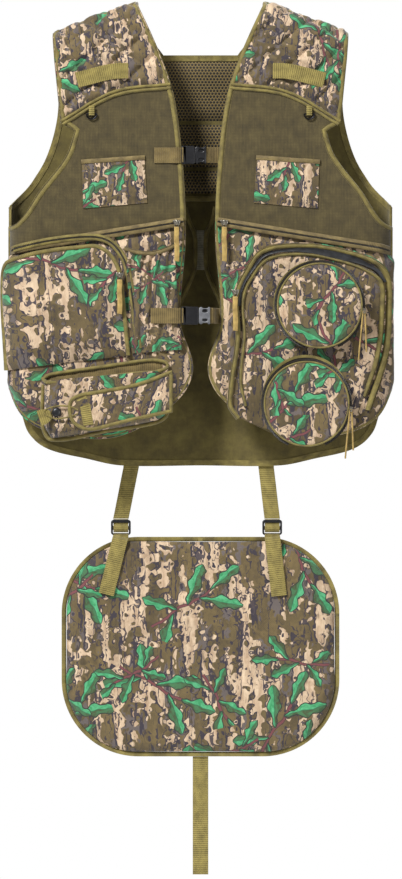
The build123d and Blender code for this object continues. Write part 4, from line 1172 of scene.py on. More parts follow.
def turned(name, middle, profile, count=48):
    """A round piece about a line that runs straight out of the front; profile is (radius, level)."""
    verts, uvs = [], []
    reach = np.concatenate([[0], np.cumsum([hypot(b[0] - a[0], b[1] - a[1])
                                            for a, b in zip(profile, profile[1:])])])
    for (radius, level), s in zip(profile, reach):
        for i in range(count):
            a = 2 * pi * i / count
            verts.append(((middle[0] + radius * cos(a)) * MM, -(FLAT + level) * MM,
                          (middle[1] + radius * sin(a)) * MM))
            uvs.append(((middle[0] + s * cos(a)) * MM, (middle[1] + s * sin(a)) * MM))
    rows = len(profile)
    faces = []
    for r in range(rows - 1):
        for i in range(count):
            j = (i + 1) % count
            faces.append((r * count + i, r * count + j, (r + 1) * count + j, (r + 1) * count + i))
    faces.append(tuple(range(count))[::-1])
    faces.append(tuple((rows - 1) * count + i for i in range(count)))
    return finish_mesh(name, np.array(verts), faces, np.array(uvs), 45)


black_acetal = moulded_plastic("moulded_black_acetal", "#0E0E10", "#1D1D20", 0.36)
dome = [(2.25, HOLSTER_FACE + 7.0), (3.6, HOLSTER_FACE + 6.8), (5.6, HOLSTER_FACE + 6.2),
        (6.9, HOLSTER_FACE + 5.0), (7.5, HOLSTER_FACE + 3.6), (7.2, HOLSTER_FACE + 2.8),
        (4.0, HOLSTER_FACE + 2.3), (3.6, HOLSTER_FACE - 2.0)]
toggle = turned("holster_toggle_button", (tx, tz), dome, count=28)
dress(toggle, black_acetal, "buckle_plastic", "right_front", "holster_toggle")
eye = [(tx + 34, tz + 3.5), (tx + 22, tz + 8.6), (tx + 4, tz + 9.8), (tx - 12, tz + 6.5),
       (tx - 20, tz + 1.0), (tx - 16, tz - 5.5), (tx, tz - 10.5), (tx + 18, tz - 8.0), (tx + 34, tz - 2.5)]
eye_path = bend_through([(x, -FLAT - LOOP_FACE + 1.2, z) for x, z in eye], 1.5)
elastic_cord = sweep("holster_elastic_loop", eye_path, (0, 1, 0), round_section(1.25))
dress(elastic_cord, olive_tape, "webbing", "holster_flap", "holster_loop")
grip = lay_tape("holster_flap_grip", flatten(curve([(190, -627), (184, -640), (181, -656), (178, -671)], -1,
                                                   closed=False)),
                [(-8.5, LOOP_FACE - 2.8), (-8.2, LOOP_FACE - 0.8), (8.2, LOOP_FACE - 0.8),
                 (8.5, LOOP_FACE - 2.8)])
dress(grip, olive_webbing, "webbing", "holster_flap")
loop_tab = lay_tape("holster_loop_tab", flatten(np.array([(-257, -660), (-250, -657.5), (-243, -655),
                                                          (-238, -653)])),
                    [(-12.5, LOOP_FACE - 2.6), (-12.3, LOOP_FACE - 1.4), (12.3, LOOP_FACE - 1.4),
                     (12.5, LOOP_FACE - 2.6)], widen=np.array([1.0, 1.0, 0.8, 0.5]))
dress(loop_tab, olive_webbing, "webbing", "holster_flap")


# Arched pocket ------------------------------------------------------------------------------------
# The left front carries a large arched pocket. Its zip follows the arch between olive tapes, and
# stands a little open along the top, where the black lining shows.

arch = [(55, -655), (42, -637), (55, -528), (52, -462), (71, -419), (97, -387), (169, -379), (238, -390),
        (286, -408), (306, -430), (308, -475), (302, -555), (273, -650), (245, -676), (200, -684),
        (120, -680)]
arch_cut = flatten(curve(arch, 1, sharp=70), 15.0)


def arch_face(q, inset):
    """Loose cloth that swells away from its zip, creased about the round pockets."""
    folds = wrinkle(q * (1, 0.55), 38, 2.0, 3.0) + wrinkle(q, 17, 0.7, 8.0)
    return 11.5 + 4.6 * ease((inset - 14) / 14) + folds * ease((inset - 12) / 22)


arch_cloth = cut_cloth("arch_pocket_cloth", [arch_cut], lambda q: inside(arch_cut, q), arch_face, under=9.0,
                       step=5.0)
dress(arch_cloth, printed_cloth("printed_arch", (77, -402), 3, 1.0), "camo_cloth", "left_front",
      "arch_pocket")
arch_path = flatten(curve([(60, -660), (47, -637), (60, -528), (58, -464), (76, -422), (101, -392),
                           (169, -384), (236, -395), (282, -412), (300, -434), (303, -475), (297, -555),
                           (268, -647)], 1,
                          closed=False, sharp=70), 15.0)
arch_piping = lay_tape("arch_outer_tape", arch_path, tape_shape(8.0, 11.0, 18.5))
dress(arch_piping, olive_tape, "olive_binding", "left_front", "arch_zip")
inner = flatten(curve([(72, -640), (64, -600), (70, -528), (68, -468), (86, -428), (110, -404), (169, -398),
                       (232, -411), (273, -428), (289, -444), (291, -475), (284, -555), (262, -625)], 1,
                      closed=False, sharp=70), 15.0)
inner_piping = lay_tape("arch_inner_piping", inner, tape_shape(5.5, 13.0, 19.0))
dress(inner_piping, olive_tape, "olive_binding", "left_front")


def black_lining():
    """Coated black lining taffeta, close woven and a little shiny."""
    material, tree, surface = new_material("coated_black_lining", 0.5)
    fold = add(tree, "TexNoise", {"Vector": pattern_size(tree, 12, 5), "Scale": 1.0, "Detail": 3.0})
    # The colour is lighter on the raised folds and darker in their hollows: painted sheen and shade, over
    # the bump from the same folds.
    tree.links.new(add(tree, "ValToRGB", {0: fold}, stops=((0.3, "#050506"), (0.75, "#2A2B2E"))),
                   surface.inputs["Base Color"])
    bump = add(tree, "Bump", {"Height": fold, "Distance": 1.0 * MM, "Strength": 1.0})
    tree.links.new(bump, surface.inputs["Normal"])
    return material


lining_black = black_lining()
gap_path = flatten(curve([(62, -480), (66, -452), (81, -425), (106, -398), (169, -391), (234, -403),
                          (278, -421), (295, -442)], 1, closed=False, sharp=70), 15.0)
share = np.linspace(0, 1, len(gap_path))
gap_width = 0.55 + 1.35 * np.exp(-((share - 0.68) / 0.17) ** 2)
gap = lay_tape("arch_zip_opening", gap_path, [(-3.6, 12.5), (-3.2, 16.6), (0, 15.6), (3.2, 16.6),
                                              (3.6, 12.5)],
               widen=gap_width)
dress(gap, lining_black, "zip_tape", "left_front")


# Round call pockets -------------------------------------------------------------------------------
# Two drums of printed cloth over foam, one above the other, each made for a round pot call. The
# lid is hinged at the bottom by its own cloth, and a coil zip runs round the seam.

POT_BASE = 17.0
for pot, hang in (("upper", 0.0), ("lower", 0.6)):
    centre, size = box_middle(f"{pot}_pot_lid")
    x, z = centre.x / MM, centre.z / MM
    radius = size.x / MM / 2
    lid_low = -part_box(f"{pot}_pot_lid")[1].y / MM - FLAT
    lid_high = -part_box(f"{pot}_pot_lid")[0].y / MM - FLAT
    wall = [(radius - 5, POT_BASE - 1), (radius - 0.5, POT_BASE + 1), (radius + 0.6, POT_BASE + 8),
            (radius - 0.2, POT_BASE + 15), (radius + 0.3, lid_low - 3), (radius - 0.6, lid_low - 0.6),
            (radius - 4, lid_low - 0.4), (radius - 4.4, POT_BASE + 3), (2.0, POT_BASE + 2.6)]
    cup = turned(f"{pot}_pot_wall", (x, z), wall, count=72)
    pot_print = printed_cloth(f"printed_{pot}_pot", (130 if pot == "upper" else -260, 300), 0, 0.95)
    dress(cup, pot_print, "camo_cloth", "left_front", f"{pot}_pot_pocket")
    crown = [(1.0, lid_high + 0.6), (radius * 0.35, lid_high + 0.5), (radius * 0.6, lid_high + 0.2),
             (radius * 0.8, lid_high - 0.7), (radius * 0.9, lid_high - 1.7), (radius - 3.0, lid_high - 3.2),
             (radius - 1.0, lid_high - 4.8), (radius - 0.2, lid_low + 1.4), (radius - 1.2, lid_low),
             (radius - 5.0, lid_low), (2.0, lid_low + 0.1)]
    lid = turned(f"{pot}_pot_lid_pad", (x, z), crown, count=96)
    for vertex in lid.data.vertices:
        rise = noise.noise(Vector((vertex.co.x / 0.03, vertex.co.z / 0.03, 2.0 + hang)))
        away = hypot(vertex.co.x / MM - x, vertex.co.z / MM - z) / radius
        if -vertex.co.y / MM - FLAT > lid_high - 4:
            vertex.co.y -= 0.9 * MM * rise * (1 - away)
    dress(lid, pot_print, "camo_cloth", f"{pot}_pot_lid", f"{pot}_pot_lid")
    angles = np.linspace(0, 2 * pi, 96, endpoint=False)
    rim_points = [(x + (radius - 0.5) * cos(a), -FLAT - lid_high + 3.9,
                   z + (radius - 0.5) * sin(a)) for a in angles]
    rim = sweep(f"{pot}_pot_lid_piping", rim_points, (0, 1, 0), round_section(1.5, 8), closed=True)
    dress(rim, olive_tape, "olive_binding", f"{pot}_pot_lid")
    zipped = np.radians(np.arange(-66, 247, 3.0))     # all round but for the cloth hinge
    # The coil is set out past the lid's piping so that its dark ring shows: partly the real zip, partly
    # painted shade round the lid's edge.
    seam_points = [(x + (radius + 2.0) * cos(a), -FLAT - lid_low + 2.4,
                    z + (radius + 2.0) * sin(a)) for a in zipped]
    seam = sweep(f"{pot}_pot_zip_coil_and_painted_shade", seam_points, (0, 1, 0),
                 [(-1.9, -3.0), (-1.9, 0.6), (0, 1.0), (1.9, 0.6),
                  (1.9, -3.0)])
    dress(seam, nylon_coil, "zip_tape", "left_front")
    hood_out = 7.5 if pot == "lower" else 4.0     # how far the binding stands off the lid
    hood = np.radians(np.arange(24, 172, 3.0) + (0 if pot == "lower" else 50))
    bow = hood_out * np.sin(np.linspace(0.12, pi - 0.12, len(hood)))
    for part, offset, half_wide, level, material, slot in (
            ("welt", 1.0, 2.2, lid_low - 9.8, olive_tape, "olive_binding"),
            ("lining", -2.4, 3.4, lid_low - 10.8, lining_black, "zip_tape")):
        way = [(x + (radius + offset + b) * cos(a), -FLAT - level, z + (radius + offset + b) * sin(a))
               for a, b in zip(hood, bow)]
        band = sweep(f"{pot}_pot_{part}", way, (0, 1, 0), [(-2.0, -half_wide), (-2.0, half_wide),
                                                           (2.6, half_wide + 1), (2.6, -half_wide)])
        dress(band, material, slot, "left_front")

    slider_low, slider_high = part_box(f"{pot}_pot_slider")
    pin = (slider_low + slider_high) / 2 / MM
    dark = sweep(f"{pot}_pot_slider_body", [(pin.x + 1, -FLAT - lid_low + 3.4, pin.z + 7),
                                            (pin.x + 0.4, -FLAT - lid_low + 3.4, pin.z + 5),
                                            (pin.x - 0.2, -FLAT - lid_low + 3.4, pin.z - 5),
                                            (pin.x - 1.2, -FLAT - lid_low + 3.4, pin.z - 7)], (0, 1, 0),
                 [(-4, -2.4), (-4, 2.4), (4, 2.9), (4, -2.9)])
    post = turned(f"{pot}_pot_slider_post", (pin.x, pin.z),
                  [(0.3, lid_high + 4.6), (1.7, lid_high + 4.4), (1.9, lid_high + 3.8),
                   (0.9, lid_high + 3.5), (0.9, lid_low + 1)], count=16)
    dress(dark, slider_zinc, "slider_metal", f"{pot}_pot_slider", f"{pot}_pot_slider")
    dress(post, slider_zinc, "slider_metal", f"{pot}_pot_slider")
    pull_low, pull_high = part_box(f"{pot}_pot_pull")
    y = (pull_low.y + pull_high.y) / 2 / MM
    drop = (pull_high.z - pull_low.z) / MM
    for strand, (lean, length, start) in enumerate(((-7.2, drop - 4, -1.6), (2.2, drop - 17, 1.6)), 1):
        line = bend_through([(pin.x + start * 0.2, y, pin.z + 2.2), (pin.x + start, y, pin.z - 2),
                             (pin.x + start + 0.30 * lean, y + 0.3, pin.z - 0.3 * length),
                             (pin.x + start + 0.72 * lean, y - 0.3, pin.z - 0.7 * length),
                             (pin.x + start + lean, y, pin.z - length)])
        cord = sweep(f"{pot}_pot_pull_strand_{strand}", line, (1, 0, 0), round_section(1.35, 8))
        dress(cord, pull_tape, "pull_tape", f"{pot}_pot_pull", f"{pot}_pot_pull")


# Front straps and buckles -------------------------------------------------------------------------
# Two side-release buckles join the fronts. Each plug rides its strap on a ladder bar; each socket
# holds the plug's two sprung arms, which show in its curved side windows.

grey_acetal = moulded_plastic("moulded_grey_acetal", "#55565A", "#77787C", 0.38)


def arc_points(cx, cz, rx, rz, start, end, count=8):
    """Points on part of an ellipse, between two angles in degrees."""
    return [(cx + rx * cos(radians(a)), cz + rz * sin(radians(a))) for a in np.linspace(start, end, count)]


for name, face_plastic, patch_from in (("chest", black_acetal, 74), ("waist", grey_acetal, 82)):
    plug_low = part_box(f"{name}_buckle_plug")[0] / MM
    socket_low, socket_high = [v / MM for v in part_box(f"{name}_buckle_socket")]
    z = (socket_low.z + socket_high.z) / 2
    half = (socket_high.z - socket_low.z) / 2
    front, thick = socket_low.y, socket_high.y - socket_low.y
    mouth, end = socket_low.x, socket_high.x
    cap = mouth + 3.4
    waist_in = 2.6
    socket_line = [(mouth, z + half - 2.5), (cap, z + half - 0.3), (cap + 3.2, z + half - waist_in),
                   (end - 4.6, z + half - waist_in), (end - 2.4, z + half - 0.4), (end, z + half - 1.4),
                   (end, z - half + 1.4), (end - 2.4, z - half + 0.4), (end - 4.6, z - half + waist_in),
                   (cap + 3.2, z - half + waist_in), (cap, z - half + 0.3), (mouth, z - half + 2.5)]
    windows = [arc_points(mouth + 9.4, z + s * (half - 7.4), 4.4, 2.2, 0, 330, 12)[::s] for s in (1, -1)]
    socket = moulded(f"{name}_socket_shell", [socket_line, *windows], front, thick, 1.5)
    dress(socket, face_plastic, "buckle_plastic", "left_front", f"{name}_buckle_socket")
    core = moulded(f"{name}_socket_core", [[(mouth + 2.5, z + half - 4.4), (end - 3, z + half - 4.4),
                                            (end - 3, z - half + 4.4), (mouth + 2.5, z - half + 4.4)]],
                   front + 2.0, thick - 4.0, 0.6)
    dress(core, black_acetal, "buckle_plastic", "left_front")
    tail, base = plug_low.x, mouth - 0.5
    slot = [(tail + 2.6, z + 12.6), (tail + 2.6, z - 12.6), (tail + 6.0, z - 12.6), (tail + 6.0, z + 12.6)]
    plug_line = [(tail, z + half - 1.6), (tail + 1.6, z + half), (base - 2.2, z + half),
                 (base, z + half - 1.6), (base, z - half + 1.6), (base - 2.2, z - half),
                 (tail + 1.6, z - half), (tail, z - half + 1.6)]
    plug = moulded(f"{name}_plug_ladder", [plug_line, slot], front + 0.6, thick - 1.2, 1.2)
    dress(plug, black_acetal, "buckle_plastic", f"{name}_buckle_plug", f"{name}_buckle_plug")
    for arm in (-1, 1):
        reach = [(base - 1, z + arm * (half - 5.0)), (base + 4, z + arm * (half - 5.2)),
                 (base + 9, z + arm * (half - 5.6)), (base + 12, z + arm * (half - 6.6))]
        prong = sweep(f"{name}_plug_arm_{'lower' if arm < 0 else 'upper'}",
                      bend_through([(x, front + thick / 2, zz) for x, zz in reach]), (0, 1, 0),
                      [(-1.9, -1.5), (-1.9, 1.5), (1.9, 1.5), (1.9, -1.5)])
        dress(prong, black_acetal, "buckle_plastic", f"{name}_buckle_plug")
    tongue = sweep(f"{name}_plug_tongue", [(base - 1, front + thick / 2, z),
                                           (base + 6, front + thick / 2, z),
                                           (base + 12, front + thick / 2, z)], (0, 0, 1),
                   [(-2.6, -1.7), (-2.6, 1.7), (2.6, 1.7), (2.6, -1.7)])
    dress(tongue, black_acetal, "buckle_plastic", f"{name}_buckle_plug")
    threaded = sweep(f"{name}_strap_in_ladder",
                     bend_through([(tail + 1.0, front - 0.5, z), (tail + 2.8, front + 0.6, z),
                                   (tail + 4.3, front + thick / 2 - 1, z),
                                   (tail + 5.7, front + thick / 2, z)], 0.8),
                     (0, 0, 1), flat_section(24.0, 1.4))
    dress(threaded, brown_webbing, "webbing", f"{name}_buckle_plug")
    low_level = -front - FLAT - thick
    patch_path = [(-x, z) for x in np.arange(31.3, patch_from + 0.1, 2.85)][::-1]
    rise = np.linspace(0, 1, len(patch_path))
    sewn_at = 3.6 if name == "chest" else 21.0
    lift = sewn_at + (low_level - 0.9 - sewn_at) * ease((rise - 0.45) / 0.5) + 0.3 * np.sin(rise * 3 * pi)
    patch = lay_tape(f"{name}_front_strap", flatten(np.array(patch_path)),
                     [(-12.5, -0.9), (-12.3, 0.7), (12.3, 0.7), (12.5, -0.9)], lift=lift)
    dress(patch, brown_webbing, "webbing", "right_front")
    behind = -FLAT + 1.6
    run = [(64, behind, z), (44, behind, z), (27, behind - 0.3, z), (end + 5.5, front + thick / 2 + 4, z),
           (end + 2, front + thick / 2 + 0.5, z), (end - 1.2, front + thick / 2, z)]
    strap = sweep(f"{name}_strap_end", bend_through(run), (0, 0, 1), flat_section(25.0, 1.6))
    dress(strap, brown_webbing, "webbing", "left_front")
    if name == "chest":
        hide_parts("left_strap_ends")


# Centre of the back -------------------------------------------------------------------------------
# Below the pads a binding crosses the back. Under it two curved bindings run together and apart
# again, with a grey strip sewn between them, where the lining is gathered.

grey_tape = grosgrain("grosgrain_tape_grey", "#5C5846", "#9A957E", rib=2.8)
band_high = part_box("back_centre_tab")[1] / MM
band_path = flatten(np.array([(x, band_high.z - 5) for x in np.arange(-148, 149, 6.0)]))
band = lay_tape("back_cross_binding", band_path, [(s, -level) for s, level in tape_shape(9.0, 0.6, 3.4)],
                back=True)
dress(band, olive_tape, "olive_binding", "vest_back", "back_centre_tab")
for name, side in sides.items():
    way = [(24, -318), (19, -340), (9.5, -362), (8, -392), (10, -420), (22, -450), (34, -480), (40, -555)]
    path = flatten(curve(way, side, closed=False))
    hourglass = lay_tape(f"back_curved_binding_{name}", path,
                         [(s, -level) for s, level in tape_shape(7.0, 0.6, 4.0)], back=True)
    dress(hourglass, olive_tape, "olive_binding", "vest_back")
strip = lay_tape("back_grey_strip", flatten(np.array([(0, z) for z in np.arange(-420, -352, 4.0)])),
                 [(-6, -0.4), (-5.8, -2.0), (5.8, -2.0), (6, -0.4)], back=True)
dress(strip, grey_tape, "olive_cloth", "vest_back")


# Game bag -----------------------------------------------------------------------------------------
# A wide bag hangs on the outside of the back for carrying a bird. Its sides and bottom are sewn to
# the back, and its bound mouth stands a little open at the top.

bag_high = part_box("game_bag")[1] / MM
bag_outline = [(-230, -420), (0, -424), (230, -420), (234, -540), (228, -660), (150, -708), (0, -712),
               (-150, -708), (-228, -660), (-234, -540)]
bag_cut = flatten(curve(bag_outline, 1, sharp=60))
BAG_FACE = bag_high.y - FLAT


def bag_face(q, inset):
    """Sags outwards towards its bottom, in long upright folds."""
    folds = wrinkle(q * (1, 0.3), 40, 2.2, 7.0) + wrinkle(q, 24, 0.8, 2.0)
    rounded = np.sqrt(np.clip(1 - (1 - np.clip(inset / 34, 0, 1)) ** 2, 0, 1))
    return 3.4 + (BAG_FACE - 4.4) * rounded + folds * ease(inset / 26)


bag = cut_cloth("game_bag_cloth", [bag_cut], lambda q: inside(bag_cut, q), bag_face, under=2.8, back=True,
                step=6.0)
dress(bag, printed_cloth("printed_game_bag", (-700, 120), 0, 1.0), "camo_cloth", "vest_back", "game_bag")
bag_mouth = lay_tape("game_bag_mouth_binding",
                     flatten(curve([(-232, -421), (0, -425), (232, -421)], 1, closed=False)),
                     tape_shape(9.0, 2.0, 7.5), back=True)
dress(bag_mouth, olive_tape, "olive_binding", "vest_back")
bag_seam = lay_tape("game_bag_seam_binding", flatten(curve([(231, -424), (235, -540), (230, -661),
                                                            (151, -710), (0, -714), (-151, -710),
                                                            (-230, -661), (-235, -540), (-231, -424)],
                                                          1, closed=False, sharp=60)),
                    tape_shape(7.0, 1.4, 5.6), back=True)
dress(bag_seam, olive_tape, "olive_binding", "vest_back")


# Seat straps --------------------------------------------------------------------------------------
# Two webbing straps are sewn to the hem with a folded end, and hold the seat by ladder locks. The
# strap's spare end comes back out of each lock and hangs down in front of the seat.

strap_low, strap_high = [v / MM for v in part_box("seat_straps")]
strap_y = (strap_low.y + strap_high.y) / 2
strap_tops = (-112.0, 106.0)
lock_low, lock_high = [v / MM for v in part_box("ladder_locks")]
lock_middles = (lock_low.x + 16.0, lock_high.x - 16.0)
lock_bar = lock_low.z + 1.5
tails_low, tails_high = [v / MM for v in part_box("strap_tails")]
seat_low, seat_high = [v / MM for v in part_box("seat_pad")]
rim_low, rim_high = [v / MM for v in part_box("seat_binding")]

for name, top_x, low_x, tilt in zip(("right", "left"), strap_tops, lock_middles, (14.0, -6.5)):
    anchor = sweep(f"{name}_strap_anchor", bend_through([(top_x, FLAT + 5.0, BACK_HEM + 22),
                                                         (top_x, FLAT + 5.3, BACK_HEM + 12),
                                                         (top_x, FLAT + 5.2, BACK_HEM + 2),
                                                         (top_x, strap_y, BACK_HEM - 3.4)]),
                   (1, 0, 0), flat_section(25.0, 1.4))
    dress(anchor, olive_webbing, "webbing", "vest_back")
    way = bend_through([(top_x, strap_y, strap_high.z + 1.4), (top_x + 0.36 * (low_x - top_x), strap_y - 0.5,
                                                         strap_high.z + 0.35 * (strap_low.z - strap_high.z)),
                        (top_x + 0.7 * (low_x - top_x), strap_y + 0.4,
                         strap_high.z + 0.7 * (strap_low.z - strap_high.z)),
                        (low_x, strap_y, strap_low.z)])
    strap = sweep(f"{name}_seat_strap", way, (1, 0, 0), flat_section(25.0, 1.7), square=False)
    dress(strap, olive_webbing, "webbing", "seat_straps")
    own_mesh(strap)
    if name == "right":
        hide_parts("seat_straps")
        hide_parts("seat_strap_anchors")
    outer = rounded_rectangle(32.0, 25.0, 4.5, (low_x, (lock_low.z + lock_high.z) / 2), 1.2)
    upper_slot = rounded_rectangle(25.6, 5.6, 1.6, (low_x, lock_bar + 16.6), 1.0)[::-1]
    lower_slot = rounded_rectangle(25.6, 6.2, 1.6, (low_x, lock_bar + 5.4), 1.0)[::-1]
    lock = moulded(f"{name}_ladder_lock", [outer, upper_slot, lower_slot], strap_y - 2.4, 4.8, 1.3)
    dress(lock, black_acetal, "buckle_plastic", "ladder_locks")
    pass_over = bend_through([(low_x, strap_y + 0.6, strap_low.z - 0.6),
                              (low_x, strap_y + 0.4, lock_bar + 17),
                              (low_x, strap_y - 2.6, lock_bar + 13.6),
                              (low_x, strap_y - 3.6, lock_bar + 10.5),
                              (low_x, strap_y - 2.2, lock_bar + 7.0),
                              (low_x, strap_y - 0.2, lock_bar + 4.6)], 1.0)
    threaded = sweep(f"{name}_strap_in_lock", pass_over, (1, 0, 0), flat_section(24.0, 1.5))
    dress(threaded, olive_webbing, "webbing", "ladder_locks")
    if name == "right":
        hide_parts("ladder_locks")
    fold = bend_through([(low_x, strap_y - 1.7, seat_high.z - 4.0), (low_x, strap_y - 1.9, lock_bar - 2.5),
                         (low_x, strap_y - 1.5, lock_bar + 1.2), (low_x, strap_y, lock_bar + 2.4),
                         (low_x, strap_y + 1.6, lock_bar + 1.0), (low_x, strap_y + 1.9, lock_bar - 2.5),
                         (low_x, strap_y + 1.7, seat_high.z - 4.0)], 0.8)
    tab = sweep(f"{name}_seat_tab", fold, (1, 0, 0), flat_section(24.5, 1.3))
    dress(tab, olive_webbing, "webbing", "seat")
    if name == "right":
        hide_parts("seat_tabs")
    lean = Vector((-sin(radians(tilt)), 0, -cos(radians(tilt))))
    start = Vector((low_x, 0, lock_low.z - 1.0))
    front = tails_low.y + 0.8
    stations = [(tails_high.y - 1.0, 0.5), (tails_high.y - 5.0, 2.2), (front + 2.0, 5.5), (front + 0.2, 13),
                (front + 0.5, 30), (front - 0.4, 55), (front + 0.3, 78), (front + 0.4, 96)]
    way = [tuple(start + lean * s + Vector((0, y, 0))) for y, s in stations]
    across = (cos(radians(tilt)), 0, -sin(radians(tilt)))
    tail = sweep(f"{name}_strap_tail", bend_through(way), across, flat_section(25.0, 1.5))
    dress(tail, olive_webbing, "webbing", "strap_tails")
    if name == "right":
        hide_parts("strap_tails")


# Seat ---------------------------------------------------------------------------------------------
# A foam pad in printed cloth, crowned front and back. Its edge is bound all round in olive tape,
# joined at the middle of the top.

seat_middle = (0.0, (rim_low.z + rim_high.z) / 2)
SEAT_CORNER = 122.0
START_HALF = 11.0     # half the pad's thickness before it is filled


def seat_shell(name, grow, half):
    """The pad's two faces of cloth, joined at a soft edge."""
    outline = rounded_rectangle(seat_high.x - seat_low.x - 2 * grow, seat_high.z - seat_low.z - 2 * grow,
                                SEAT_CORNER - 5.0 - grow, seat_middle, 7.0)
    rows = [(0.0, 0.25), (0.2, 0.62), (1.2, 0.86), (4.0, 0.97), (9.0, 1.0)]
    rows += [(9.0 + 7.5 * k, 1.0) for k in range(1, 17)]
    verts, faces = [], []
    count = len(outline)
    centre = np.array(seat_middle)
    reach = outline - centre
    span = np.linalg.norm(reach, axis=1)
    for front in (-1, 1):
        for inset, full in rows:
            ring = centre + reach * (1 - np.minimum(inset / span, 0.995))[:, None]
            verts += [(p[0] * MM, (strap_y + front * half * full) * MM, p[1] * MM) for p in ring]
    rings = len(rows)
    for which in (0, 1):
        for r in range(rings - 1):
            for i in range(count):
                j = (i + 1) % count
                a = (which * rings + r) * count
                b = a + count
                quad = (a + i, a + j, b + j, b + i)
                faces.append(quad if which == 0 else quad[::-1])
        last = (which * rings + rings - 1) * count
        cap = tuple(last + i for i in range(count))
        faces.append(cap if which == 0 else cap[::-1])
    for i in range(count):
        j = (i + 1) % count
        faces.append((i, rings * count + i, rings * count + j, j))
    uvs = np.array([(v[0], v[2]) for v in verts])
    return finish_mesh(name, np.array(verts), faces, uvs)


def inflate(piece, pressure, cap, frames=20, voxel=5.5):
    """Fill a closed cover as its foam does: cloth simulation, with how far a point moves capped."""
    remesh = piece.modifiers.new("remesh", "REMESH")
    remesh.mode = "VOXEL"
    remesh.voxel_size = voxel * MM
    bpy.context.view_layer.update()
    evaluated = piece.evaluated_get(bpy.context.evaluated_depsgraph_get())
    even = bpy.data.meshes.new_from_object(evaluated)
    piece.modifiers.clear()
    piece.data = even
    start = np.array([tuple(v.co) for v in even.vertices])
    cloth = piece.modifiers.new("cloth", "CLOTH")
    cloth.settings.use_pressure = True
    cloth.settings.uniform_pressure_force = pressure
    cloth.settings.effector_weights.gravity = 0
    cloth.settings.quality = 5
    scene = bpy.context.scene
    for number in range(1, frames + 1):
        scene.frame_set(number)
    evaluated = piece.evaluated_get(bpy.context.evaluated_depsgraph_get())
    end = np.array([tuple(v.co) for v in evaluated.data.vertices])
    piece.modifiers.clear()
    scene.frame_set(1)
    move = end - start
    length = np.linalg.norm(move, axis=1)
    end = start + move * np.minimum(1, cap * MM / np.maximum(length, 1e-9))[:, None]
    for axis in (0, 2):     # the cover draws in as it fills, so it is cut that much larger
        middle = (start[:, axis].min() + start[:, axis].max()) / 2
        end[:, axis] = middle + (end[:, axis] - middle) * np.ptp(start[:, axis]) / np.ptp(end[:, axis])
    piece.data.vertices.foreach_set("co", end.astype(np.float32).ravel())
    piece.data.update()
    return piece


seat = seat_shell("seat_pad_cover", 0.5, START_HALF)
inflate(seat, 4.0, 9.0)
lowest, highest = seat_low.y + 0.5, seat_high.y - 0.5
co = np.array([tuple(v.co) for v in seat.data.vertices]) / MM
outline = rounded_rectangle(seat_high.x - seat_low.x, seat_high.z - seat_low.z, SEAT_CORNER - 5.0,
                            seat_middle, 7.0)
depth = distance(co[:, [0, 2]], outline, np.roll(outline, -1, 0))
crown = (1 - (1 - np.clip(depth / 70, 0, 1)) ** 2.6) * (seat_high.y - strap_y - START_HALF - 1.0)
ripple = wrinkle(co[:, [0, 2]], 55, 0.9, 3.0) * ease(depth / 20)
swell = np.where(np.abs(co[:, 1] - strap_y) > 2, np.sign(co[:, 1] - strap_y), 0)
co[:, 1] = np.clip(co[:, 1] + swell * ripple, lowest, highest)
seat.data.vertices.foreach_set("co", (co * MM).astype(np.float32).ravel())
if not seat.data.uv_layers:
    seat.data.uv_layers.new(name="cut")
corners = np.zeros(len(seat.data.loops), int)
seat.data.loops.foreach_get("vertex_index", corners)
seat.data.uv_layers[0].data.foreach_set("uv", (co[corners][:, [0, 2]] * MM).astype(np.float32).ravel())
seat.data.polygons.foreach_set("use_smooth", [True] * len(seat.data.polygons))
seat.data.update()
dress(seat, printed_cloth("printed_seat", (60, 740), 0, 0.92), "camo_cloth", "seat", "seat_pad")
rim_line = rounded_rectangle(rim_high.x - rim_low.x - 5.5, rim_high.z - rim_low.z - 5.5, SEAT_CORNER - 2.7,
                             seat_middle, 5.0)
rim = sweep("seat_binding_tape", [(x, strap_y, z) for x, z in rim_line], (0, 1, 0),
            [(-4.2, -4.4), (-4.4, 0.6), (-3.0, 2.4), (-1.0, 2.9), (1.0, 2.9), (3.0, 2.4), (4.4, 0.6),
             (4.2, -4.4)],
            closed=True)
dress(rim, olive_tape, "olive_binding", "seat", "seat_binding")
join = sweep("seat_binding_join", [(x, strap_y, rim_high.z - 2.2) for x in (-3.5, -1.5, 1.5, 3.5)],
             (0, 1, 0), [(-5.0, -2.6), (-5.2, 0.8), (-3.2, 3.0), (3.2, 3.0), (5.2, 0.8), (5.0, -2.6)])
dress(join, olive_tape, "olive_binding", "seat")


# Tail strap ---------------------------------------------------------------------------------------
# A length of webbing hangs from the middle of the seat's lower edge, to stow the seat against the
# back of the vest.

tail_low, tail_high = [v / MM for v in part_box("tail_strap")]
way = bend_through([(0, strap_y, tail_high.z + 0.4), (0, strap_y, tail_high.z - 20),
                    (0, strap_y - 0.7, tail_high.z - 80), (0, strap_y + 0.6, tail_high.z - 140),
                    (0, strap_y, tail_low.z)])
tail_piece = sweep("tail_strap_webbing", way, (1, 0, 0), flat_section(25.0, 1.6))
dress(tail_piece, olive_webbing, "webbing", "tail_strap", "tail_strap")


# Studio -------------------------------------------------------------------------------------------
# A pale floor well below the hanging vest, soft light from above in front and from both sides, and
# a camera far off, level with the vest's middle.

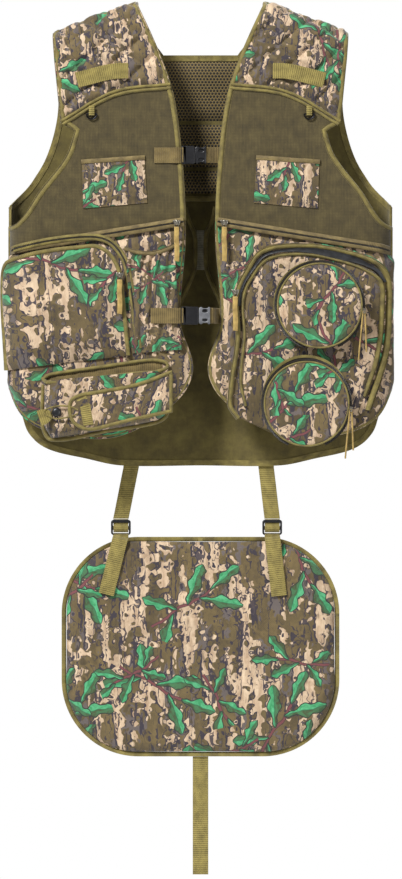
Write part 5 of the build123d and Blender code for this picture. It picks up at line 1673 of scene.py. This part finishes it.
def studio_paint():
    """Matt emulsion with a faint roller texture."""
    material, tree, surface = new_material("matt_floor_paint", 0.9)
    spots = add(tree, "TexNoise", {"Scale": 40.0, "Detail": 3.0})
    tree.links.new(add(tree, "ValToRGB", {0: spots}, stops=((0.3, "#ECEAE6"), (0.7, "#F4F3F0"))),
                   surface.inputs["Base Color"])
    return material


low, high = cad_box
middle = (low + high) / 2
floor_mesh = bpy.data.meshes.new("studio_floor")
floor_corners = ((-1.3, -1.3), (1.3, -1.3), (1.3, 1.3), (-1.3, 1.3))
floor_mesh.from_pydata([(x, y, low.z - 0.35) for x, y in floor_corners], [], [(0, 1, 2, 3)])
floor_mesh.materials.append(studio_paint())
floor = bpy.data.objects.new("studio_floor", floor_mesh)
bpy.context.scene.collection.objects.link(floor)

world = bpy.data.worlds.new("studio_air")
world.use_nodes = True
bpy.context.scene.world = world
air = world.node_tree
air_colour = air.nodes["Background"]
air_colour.inputs["Color"].default_value = (1.0, 1.0, 1.0, 1.0)
seen = add(air, "LightPath")
strength = add(air, "MapRange", {"Value": seen, "To Min": 0.24, "To Max": 1.0})
air.links.new(strength, air_colour.inputs["Strength"])

for name, place_at, size, power in (("key", (-2.9, -3.9, 3.4), 1.3, 550),
                                    ("fill", (2.4, -2.8, -0.9), 2.0, 45), ("rim", (0.5, 2.6, 1.4), 1.6, 60)):
    light = bpy.data.lights.new(f"soft_{name}", "AREA")
    light.size = size
    light.energy = power
    lamp = bpy.data.objects.new(f"soft_{name}", light)
    lamp.location = place_at
    lamp.rotation_euler = (middle - Vector(place_at)).to_track_quat("-Z", "Y").to_euler()
    bpy.context.scene.collection.objects.link(lamp)

CAMERA_AWAY = 9.0
FRAME_HEIGHT = 1.4064   # the height of the view at the vest's face
camera_data = bpy.data.cameras.new("camera")
camera_data.sensor_width = 36.0
camera_data.lens = camera_data.sensor_width * CAMERA_AWAY / FRAME_HEIGHT
camera_data.clip_end = 100.0
camera = bpy.data.objects.new("camera", camera_data)
camera.location = (0.0008, -CAMERA_AWAY - FLAT * MM, -0.6936)
camera.rotation_euler = (pi / 2, 0, 0)
bpy.context.scene.collection.objects.link(camera)
bpy.context.scene.camera = camera
bpy.context.scene.view_settings.view_transform = "Standard"
